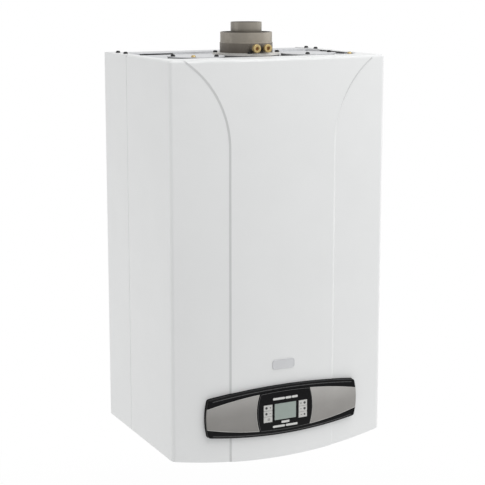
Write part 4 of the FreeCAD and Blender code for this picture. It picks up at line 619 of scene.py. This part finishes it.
def dress_plugs():
    """Knurled brass plugs with an amber core."""
    brass, core = bmesh.new(), bmesh.new()
    for low, high in islands("sampling_plugs"):
        centre = (low + high) / 2
        matrix = Matrix.Translation((centre.x, high.y, centre.z)) @ Matrix.Rotation(math.radians(90), 4, "X")
        reach, rim = high.y - low.y, (high.x - low.x) / 2
        seat = reach / 2

        def knurl(radius, height, angle):
            return radius if radius < rim else radius - KNURL_DEPTH * (0.5 + 0.5 * math.cos(KNURLS * angle))

        def rows(outline):
            return [(share * rim, reach - depth * MM) for share, depth in outline]

        neck = [(0, 0), (PLUG_NECK, 0), (PLUG_NECK, seat)]
        back = [(PLUG_SEAT_SHARE * rim, seat), (rim, seat + PLUG_EDGE)]
        turn(brass, neck + back + rows(PLUG_FRONT), matrix, PLUG_SEGMENTS, knurl)
        turn(core, rows(PLUG_CORE), matrix, CORE_SEGMENTS)
    piece = add_piece("sampling_plugs_detailed", brass, "boiler", "brass_bright", sharp=30)
    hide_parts("sampling_plugs")
    amber = moulding("amber_core", linear(128, 82, 22), 0.4, grain=700)
    add_piece("sampling_plug_cores", core, "boiler", "brass_bright", amber, sharp=30)


dress_plugs()


# Connection stubs with threads, in millimetres

LARGE_THREAD, SMALL_THREAD = 13.2, 10.5
THREAD_PITCH, THREAD_DEPTH, THREAD_UNDERCUT = 1.81, 1.0, 1.2
THREAD_START, THREAD_END = 1.0, 27.0
ROW_START, ROW_STEP, ROW_COUNT = 0.8, 0.3, 90
UNDERCUT_LOW, COLLAR_LOW, COLLAR_HIGH, STUB_LENGTH = 29.0, 32.0, 40.0, 59.0
COLLAR_RADIUS, COLLAR_EDGE, TAIL_RADIUS, STUB_BORE = 17.0, 0.8, 10.5, 7.3
STUB_SEGMENTS = 36


def screwed(radius, height, angle):
    """The radius of a thread's flank."""
    along = height / MM
    if not THREAD_START < along < THREAD_END:
        return radius
    phase = (along / THREAD_PITCH - angle / (2 * math.pi)) % 1
    return radius - THREAD_DEPTH * MM * abs(2 * phase - 1)


def dress_stubs():
    """Threaded stubs with a collar. The middle one and the outer two are large."""
    shape = bmesh.new()
    for number, (low, high) in enumerate(islands("connection_stubs")):
        thread = SMALL_THREAD if number % 2 else LARGE_THREAD
        root = thread - THREAD_UNDERCUT
        rows = [(STUB_BORE, 0), (root, 0)]
        rows += [(thread, ROW_START + ROW_STEP * i) for i in range(ROW_COUNT)]
        rows += [
            (root, UNDERCUT_LOW), (root, COLLAR_LOW), (COLLAR_RADIUS - COLLAR_EDGE, COLLAR_LOW),
            (COLLAR_RADIUS, COLLAR_LOW + COLLAR_EDGE), (COLLAR_RADIUS, COLLAR_HIGH - COLLAR_EDGE),
            (COLLAR_RADIUS - COLLAR_EDGE, COLLAR_HIGH), (TAIL_RADIUS, COLLAR_HIGH),
            (TAIL_RADIUS, STUB_LENGTH), (STUB_BORE, STUB_LENGTH),
        ]
        foot = Matrix.Translation(((low.x + high.x) / 2, (low.y + high.y) / 2, low.z))
        turn(shape, [(radius * MM, height * MM) for radius, height in rows], foot, STUB_SEGMENTS, screwed)
    piece = add_piece("connection_stubs_threaded", shape, "boiler", "brass_bright", sharp=30)
    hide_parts("connection_stubs")


dress_stubs()


# Plates and beads on the bowed front

BACK_SINK = 0.15
SIGN_THICKNESS, SIGN_STEP, LEAST_STEPS, LEAST_REACH = 0.12, 1.5, 10, 0.02
BEAD_STEPS = 6


def flat_sign(shape, x_low, x_high, z_low, z_high, corner, inset, thickness=SIGN_THICKNESS):
    """Adds a thin plate with rounded corners that lies on a bowed face."""
    count = max(LEAST_STEPS, int((x_high - x_low) / SIGN_STEP))
    half, middle = (z_high - z_low) / 2, (z_low + z_high) / 2
    corner = min(corner, half, (x_high - x_low) / 2)
    columns = []
    for i in range(count + 1):
        x = x_low + (x_high - x_low) * (1 - math.cos(math.pi * i / count)) / 2
        near = min(x - x_low, x_high - x)
        reach = half
        if near < corner:
            reach = half - corner + math.sqrt(max(corner ** 2 - (corner - near) ** 2, LEAST_REACH ** 2))
        front, back = bow(x, inset) - thickness, bow(x, inset) + BACK_SINK
        columns.append([place(x, front, middle - reach), place(x, front, middle + reach),
                        place(x, back, middle + reach), place(x, back, middle - reach)])
    extrude_strip(shape, columns)


def arc_through(first, middle, last, count):
    """Points on the circle arc through three points."""
    (ax, az), (bx, bz), (cx, cz) = first, middle, last
    d = 2 * (ax * (bz - cz) + bx * (cz - az) + cx * (az - bz))
    a, b, c = ax * ax + az * az, bx * bx + bz * bz, cx * cx + cz * cz
    x = (a * (bz - cz) + b * (cz - az) + c * (az - bz)) / d
    z = (a * (cx - bx) + b * (ax - cx) + c * (bx - ax)) / d
    radius = math.hypot(ax - x, az - z)
    start, half, end = (math.atan2(pz - z, px - x) for px, pz in (first, middle, last))
    turn_by = (end - start) % (2 * math.pi)
    if (half - start) % (2 * math.pi) > turn_by:
        turn_by -= 2 * math.pi
    angles = [start + turn_by * i / count for i in range(count + 1)]
    return [(x + radius * math.cos(angle), z + radius * math.sin(angle)) for angle in angles]


def bead(shape, points, width, height, inset):
    """Adds a half-round bead that runs along points on a bowed face."""
    angles = [math.pi * step / BEAD_STEPS for step in range(BEAD_STEPS + 1)]
    section = [(-math.cos(angle) * width / 2, math.sin(angle) * height) for angle in angles]
    section += [(width / 2, -BACK_SINK), (-width / 2, -BACK_SINK)]
    columns = []
    for i, (x, z) in enumerate(points):
        (px, pz), (qx, qz) = points[max(i - 1, 0)], points[min(i + 1, len(points) - 1)]
        length = math.hypot(qx - px, qz - pz)
        across_x, across_z = (pz - qz) / length, (qx - px) / length
        ring = []
        for aside, rise in section:
            bead_x, bead_z = x + aside * across_x, z + aside * across_z
            ring.append(place(bead_x, bow(bead_x, inset) - rise, bead_z))
        columns.append(ring)
    extrude_strip(shape, columns)


# Beads of the control panel, with points given by X and the height above the panel's centre

# Each bead has a width and a height.
EDGE_BEAD, WING_BEAD, UNIT_BEAD = (1.5, 0.5), (0.9, 0.2), (1.0, 0.35)
EDGE_REACH, EDGE_STEPS, EDGE_INSET = 150.0, 60, 4.2
WING_TIP, WING_BELLY, WING_ROOT, WING_WAIST = (160.0, 19.6), (107.3, 30.0), (54.6, 36.0), (60.5, 0.0)
UNIT_CORNER, UNIT_SIDE, UNIT_CROWN = (52.2, 35.8), (58.2, 0.0), (0.0, 37.8)
WING_TOP_STEPS, WING_ROOT_STEPS, UNIT_SIDE_STEPS, UNIT_CROWN_STEPS = 30, 24, 24, 40


def on_panel(point, across=1, up=1):
    """A point of the panel, mirrored to the left by across and to below its centre by up."""
    return across * point[0], PANEL_CENTRE + up * point[1]


def trim_panel():
    """Fine beads along the panel's long edges, round the two wings and round the control unit."""
    satin_black = moulding("satin_black_trim", (0.03, 0.03, 0.031), 0.3, grain=1400, depth=0.02)
    pale_grey = moulding("pale_grey_rim", linear(188, 187, 183), 0.35, grain=1500, depth=0.03)
    edges, rims, ring = bmesh.new(), bmesh.new(), bmesh.new()
    for up in (-1, 1):
        reach = [EDGE_REACH - 2 * EDGE_REACH * i / EDGE_STEPS for i in range(EDGE_STEPS + 1)]
        points = [on_panel((x, panel_half_height(x) - EDGE_INSET), up=up) for x in reach]
        bead(edges, points, *EDGE_BEAD, PANEL_FACE)
    add_piece("panel_edge_beads", edges, "boiler", "panel_black", satin_black, sharp=50)
    for side in (-1, 1):
        root = on_panel(WING_ROOT, side)
        top = arc_through(on_panel(WING_TIP, side), on_panel(WING_BELLY, side), root, WING_TOP_STEPS)
        inner = arc_through(root, on_panel(WING_WAIST, side), on_panel(WING_ROOT, side, -1), WING_ROOT_STEPS)
        low = [(x, 2 * PANEL_CENTRE - z) for x, z in reversed(top)]
        bead(rims, top + inner[1:] + low[1:], *WING_BEAD, WING_FACE)
    add_piece("wing_rims", rims, "boiler", "wing_grey", pale_grey, sharp=50)
    corner = on_panel(UNIT_CORNER)
    half = arc_through(on_panel(UNIT_CORNER, up=-1), on_panel(UNIT_SIDE), corner, UNIT_SIDE_STEPS)
    half += arc_through(corner, on_panel(UNIT_CROWN), on_panel(UNIT_CORNER, -1), UNIT_CROWN_STEPS)[1:]
    bead(ring, half + [(-x, 2 * PANEL_CENTRE - z) for x, z in half[1:]], *UNIT_BEAD, UNIT_FACE)
    add_piece("unit_rim", ring, "control_unit", "panel_black", satin_black, sharp=50)


trim_panel()


# Bare legend bars of the control unit

# A row's low and high edge above the panel's centre, its corners, and the ends of each bar
LEGENDS = (
    (21.6, 26.0, 2.0, ((-27.0, -1.2), (-0.4, 12.6), (13.4, 26.5))),
    (-32.8, -28.6, 2.0, ((-27.0, -1.0), (0.6, 26.5))),
    (-25.4, -21.0, 0.8, ((-8.5, 8.5),)),
)


def print_legends():
    """Thin bars that stand for the printed words."""
    bars = bmesh.new()
    for low, high, corner, spans in LEGENDS:
        for start, end in spans:
            flat_sign(bars, start, end, PANEL_CENTRE + low, PANEL_CENTRE + high, corner, UNIT_FACE)
    ink = moulding("legend_ink", linear(205, 205, 203), 0.5, grain=1500, depth=0.03)
    add_piece("unit_legend_bars", bars, "control_unit", "key_grey", ink)


print_legends()


# Signs on the keys, from marks of a place on the key, a width, a height and a corner

BAR_LONG, BAR_THICK, BAR_CORNER = 3.6, 0.8, 0.2
RING_RADIUS, RING_COUNT, RING_DOT, RING_CORNER = 2.3, 8, 1.1, 0.5
DOT_SHIFT, BAR_SHIFT, LOW_BAR_SHIFT, RING_SHIFT = 3.6, 4.6, 3.2, 1.6


def dot(size):
    """A round mark."""
    return [(0, 0, size, size, size / 2)]


def dot_ring():
    """Small marks in a ring."""
    ring = []
    for i in range(RING_COUNT):
        angle = 2 * math.pi * i / RING_COUNT
        x, z = RING_RADIUS * math.cos(angle), RING_RADIUS * math.sin(angle)
        ring.append((x, z, RING_DOT, RING_DOT, RING_CORNER))
    return ring


def shifted(marks, dx):
    """The same marks further to the right."""
    return [(x + dx, z, wide, tall, corner) for x, z, wide, tall, corner in marks]


MINUS = [(0, 0, BAR_LONG, BAR_THICK, BAR_CORNER)]
PLUS = MINUS + [(0, 0, BAR_THICK, BAR_LONG, BAR_CORNER)]
LARGE_DOT, SMALL_DOT, RING_MIDDLE = dot(5.0), dot(3.8), dot(1.6)
SIGNS = {
    "left_upper_key": shifted(LARGE_DOT, -DOT_SHIFT) + shifted(PLUS, BAR_SHIFT),
    "left_middle_key": shifted(LARGE_DOT, -DOT_SHIFT) + shifted(MINUS, BAR_SHIFT),
    "left_lower_key": shifted(dot_ring() + RING_MIDDLE, RING_SHIFT),
    "right_upper_key": shifted(LARGE_DOT, DOT_SHIFT) + shifted(PLUS, -BAR_SHIFT),
    "right_middle_key": shifted(LARGE_DOT, DOT_SHIFT) + shifted(MINUS, -BAR_SHIFT),
    "right_lower_key": shifted(SMALL_DOT, DOT_SHIFT) + shifted(MINUS, -LOW_BAR_SHIFT),
}
KEY_INK = moulding("key_ink", (0.03, 0.03, 0.032), 0.5, grain=1500, depth=0.03)


def print_key(key, marks):
    """Puts a sign on a key, whose middle is taken from its node."""
    shape = bmesh.new()
    low, high = islands(key)[0]
    key_x, key_z = (low.x + high.x) / 2 / MM, (low.z + high.z) / 2 / MM + HANG_HEIGHT
    for dx, dz, wide, tall, corner in marks:
        x, z = key_x + dx, key_z + dz
        flat_sign(shape, x - wide / 2, x + wide / 2, z - tall / 2, z + tall / 2, corner, KEY_FACE)
    add_piece(f"{key}_sign", shape, key, "key_grey", KEY_INK)


for key, marks in SIGNS.items():
    print_key(key, marks)


# Bare badge plate

BADGE_HALF, BADGE_LOW, BADGE_HIGH = 23.3, 175.6, 193.6
BADGE_CORNER, BADGE_RISE, BADGE_MARGIN = 4.5, 1.2, 0.6
BADGE_BEAD, BADGE_CORNER_STEPS = (1.2, 0.6), 6


def dress_badge():
    """A bare plate over the badge's pad, with a raised rim."""
    face, rim = bmesh.new(), bmesh.new()
    flat_sign(face, -BADGE_HALF, BADGE_HALF, BADGE_LOW, BADGE_HIGH, BADGE_CORNER, -FIELD_RISE, BADGE_RISE)
    satin = brushed("satin_badge", linear(206, 207, 209), 0.4, ALONG_X, metallic=0.2)
    add_piece("badge_face", face, "front_cover", "case_white", satin, sharp=30)
    corner = BADGE_CORNER - BADGE_MARGIN
    right, top = BADGE_HALF - BADGE_MARGIN - corner, BADGE_HIGH - BADGE_MARGIN - corner
    bottom = BADGE_LOW + BADGE_MARGIN + corner
    path = []
    for quarter, (x, z) in enumerate(((right, top), (-right, top), (-right, bottom), (right, bottom))):
        for step in range(BADGE_CORNER_STEPS + 1):
            angle = math.pi / 2 * (quarter + step / BADGE_CORNER_STEPS)
            path.append((x + corner * math.cos(angle), z + corner * math.sin(angle)))
    path.append(path[0])
    bead(rim, path, *BADGE_BEAD, -(FIELD_RISE + BADGE_RISE))
    add_piece("badge_rim", rim, "front_cover", "case_white", satin, sharp=50)


dress_badge()


# Floor, light and camera

WHITE = (1, 1, 1, 1)

# The floor's finish, its place and size in millimetres, and how it turns white towards its edge
FLOOR_COLOUR, FLOOR_ROUGHNESS, FLOOR_GLOSS = (0.82, 0.82, 0.82), 0.9, 0.1
FLOOR_DROP, FLOOR_RADIUS, FLOOR_SEGMENTS = 900.0, 2600.0, 96
FLOOR_FADE, FLOOR_GLOW = (300.0, 0.9 * FLOOR_RADIUS), (0.75, 1.0)

# The world's strength as a light
AMBIENT = 0.555

# Name, azimuth and elevation in degrees, distance and size in metres, level
LIGHTS = (
    ("key", 25, 50, 2.0, 2.0, 0.54),
    ("grazing", 80, -8, 3.0, 1.2, 0.19),
    ("side", -106, -5, 3.0, 1.2, 0.245),
    ("overhead", 0, 88, 3.0, 2.0, 0.1),
    ("low_fill", 20, -50, 1.2, 0.8, 0.1),
)

# The camera: picture width and focal length in pixels, sensor width, place in metres and angles in degrees
FRAME_PIXELS, FOCAL_PIXELS, SENSOR_WIDTH = 485.0, 1355.0, 36.0
CAMERA_PLACE, CAMERA_AZIMUTH, CAMERA_ELEVATION = (-1.1737, -2.5320, 0.1917), -26.32, 10.16
CAMERA_SHIFT = -0.05


def rays_in_view(tree):
    """A socket that is 1 for rays from the camera, from mirrors and through glass."""
    paths = add_node(tree, "ShaderNodeLightPath")
    seen = paths.outputs["Is Camera Ray"]
    for name in ("Is Glossy Ray", "Is Transmission Ray"):
        most = add_node(tree, "ShaderNodeMath", {0: seen, 1: paths.outputs[name]}, operation="MAXIMUM")
        seen = most.outputs[0]
    return seen


def make_floor():
    """A pale disc that shows the shadow at its middle, fades out at its edge and is clear from below."""
    shape = bmesh.new()
    bmesh.ops.create_circle(shape, cap_ends=True, segments=FLOOR_SEGMENTS, radius=FLOOR_RADIUS * MM)
    mesh = bpy.data.meshes.new("floor")
    shape.to_mesh(mesh)
    shape.free()
    floor = bpy.data.objects.new("floor", mesh)
    floor.location = (0, 0, cad_low.z - FLOOR_DROP * MM)
    bpy.context.scene.collection.objects.link(floor)
    pale = Finish("pale_floor", FLOOR_COLOUR, FLOOR_ROUGHNESS).set({"Specular IOR Level": FLOOR_GLOSS})
    seen, fade = rays_in_view(pale.tree), pale.near((0, 0), FLOOR_FADE, FLOOR_GLOW)
    share = pale.node("ShaderNodeMath", {0: seen, 1: fade}, operation="MULTIPLY").outputs[0]
    glow = pale.node("ShaderNodeEmission", {"Color": WHITE}).outputs[0]
    shown = pale.node("ShaderNodeMixShader", {"Fac": share, 1: pale.shader.outputs[0], 2: glow}).outputs[0]
    below = pale.node("ShaderNodeNewGeometry").outputs["Backfacing"]
    clear = pale.node("ShaderNodeBsdfTransparent").outputs[0]
    one_sided = pale.node("ShaderNodeMixShader", {"Fac": below, 1: shown, 2: clear}).outputs[0]
    pale.tree.links.new(one_sided, pale.tree.nodes["Material Output"].inputs["Surface"])
    mesh.materials.append(pale.material)


def make_world():
    """A dim white surround that lights the part, seen as plain white."""
    world = bpy.data.worlds.new("studio")
    bpy.context.scene.world = world
    world.use_nodes = True
    tree = world.node_tree
    dim = tree.nodes["Background"]
    dim.inputs["Color"].default_value = WHITE
    dim.inputs["Strength"].default_value = AMBIENT
    bright = add_node(tree, "ShaderNodeBackground", {"Color": WHITE, "Strength": 1})
    shown = add_node(tree, "ShaderNodeMixShader", {
        "Fac": rays_in_view(tree), 1: dim.outputs[0], 2: bright.outputs[0],
    })
    tree.links.new(shown.outputs[0], tree.nodes["World Output"].inputs["Surface"])


def way_to(azimuth, elevation):
    """The direction from the part to a lamp or the camera, with azimuth zero straight before the front."""
    a, e = math.radians(azimuth), math.radians(elevation)
    return Vector((math.sin(a) * math.cos(e), -math.cos(a) * math.cos(e), math.sin(e)))


def stand(name, data, spot, back):
    """Puts a lamp or a camera on a spot, with its back turned to a direction."""
    made = bpy.data.objects.new(name, data)
    made.location = spot
    made.rotation_mode = "QUATERNION"
    made.rotation_quaternion = (-back).to_track_quat("-Z", "Y")
    bpy.context.scene.collection.objects.link(made)
    return made


def make_light(name, azimuth, elevation, distance, size, level):
    """A soft square light. Level 1 shows a surface that faces it in its own colour."""
    lamp = bpy.data.lights.new(name, "AREA")
    lamp.shape, lamp.size = "SQUARE", size
    lamp.energy = level * math.pi ** 2 * distance ** 2
    back = way_to(azimuth, elevation)
    stand(name, lamp, (cad_low + cad_high) / 2 + back * distance, back)


def make_camera():
    """A camera at the photograph's viewing angle, with its lens from a focal length in pixels."""
    data = bpy.data.cameras.new("camera")
    data.sensor_width, data.lens = SENSOR_WIDTH, SENSOR_WIDTH * FOCAL_PIXELS / FRAME_PIXELS
    data.shift_y = CAMERA_SHIFT
    back = way_to(CAMERA_AZIMUTH, CAMERA_ELEVATION)
    bpy.context.scene.camera = stand("camera", data, CAMERA_PLACE, back)


make_floor()
make_world()
for light in LIGHTS:
    make_light(*light)
make_camera()
bpy.context.scene.view_settings.view_transform = "Standard"
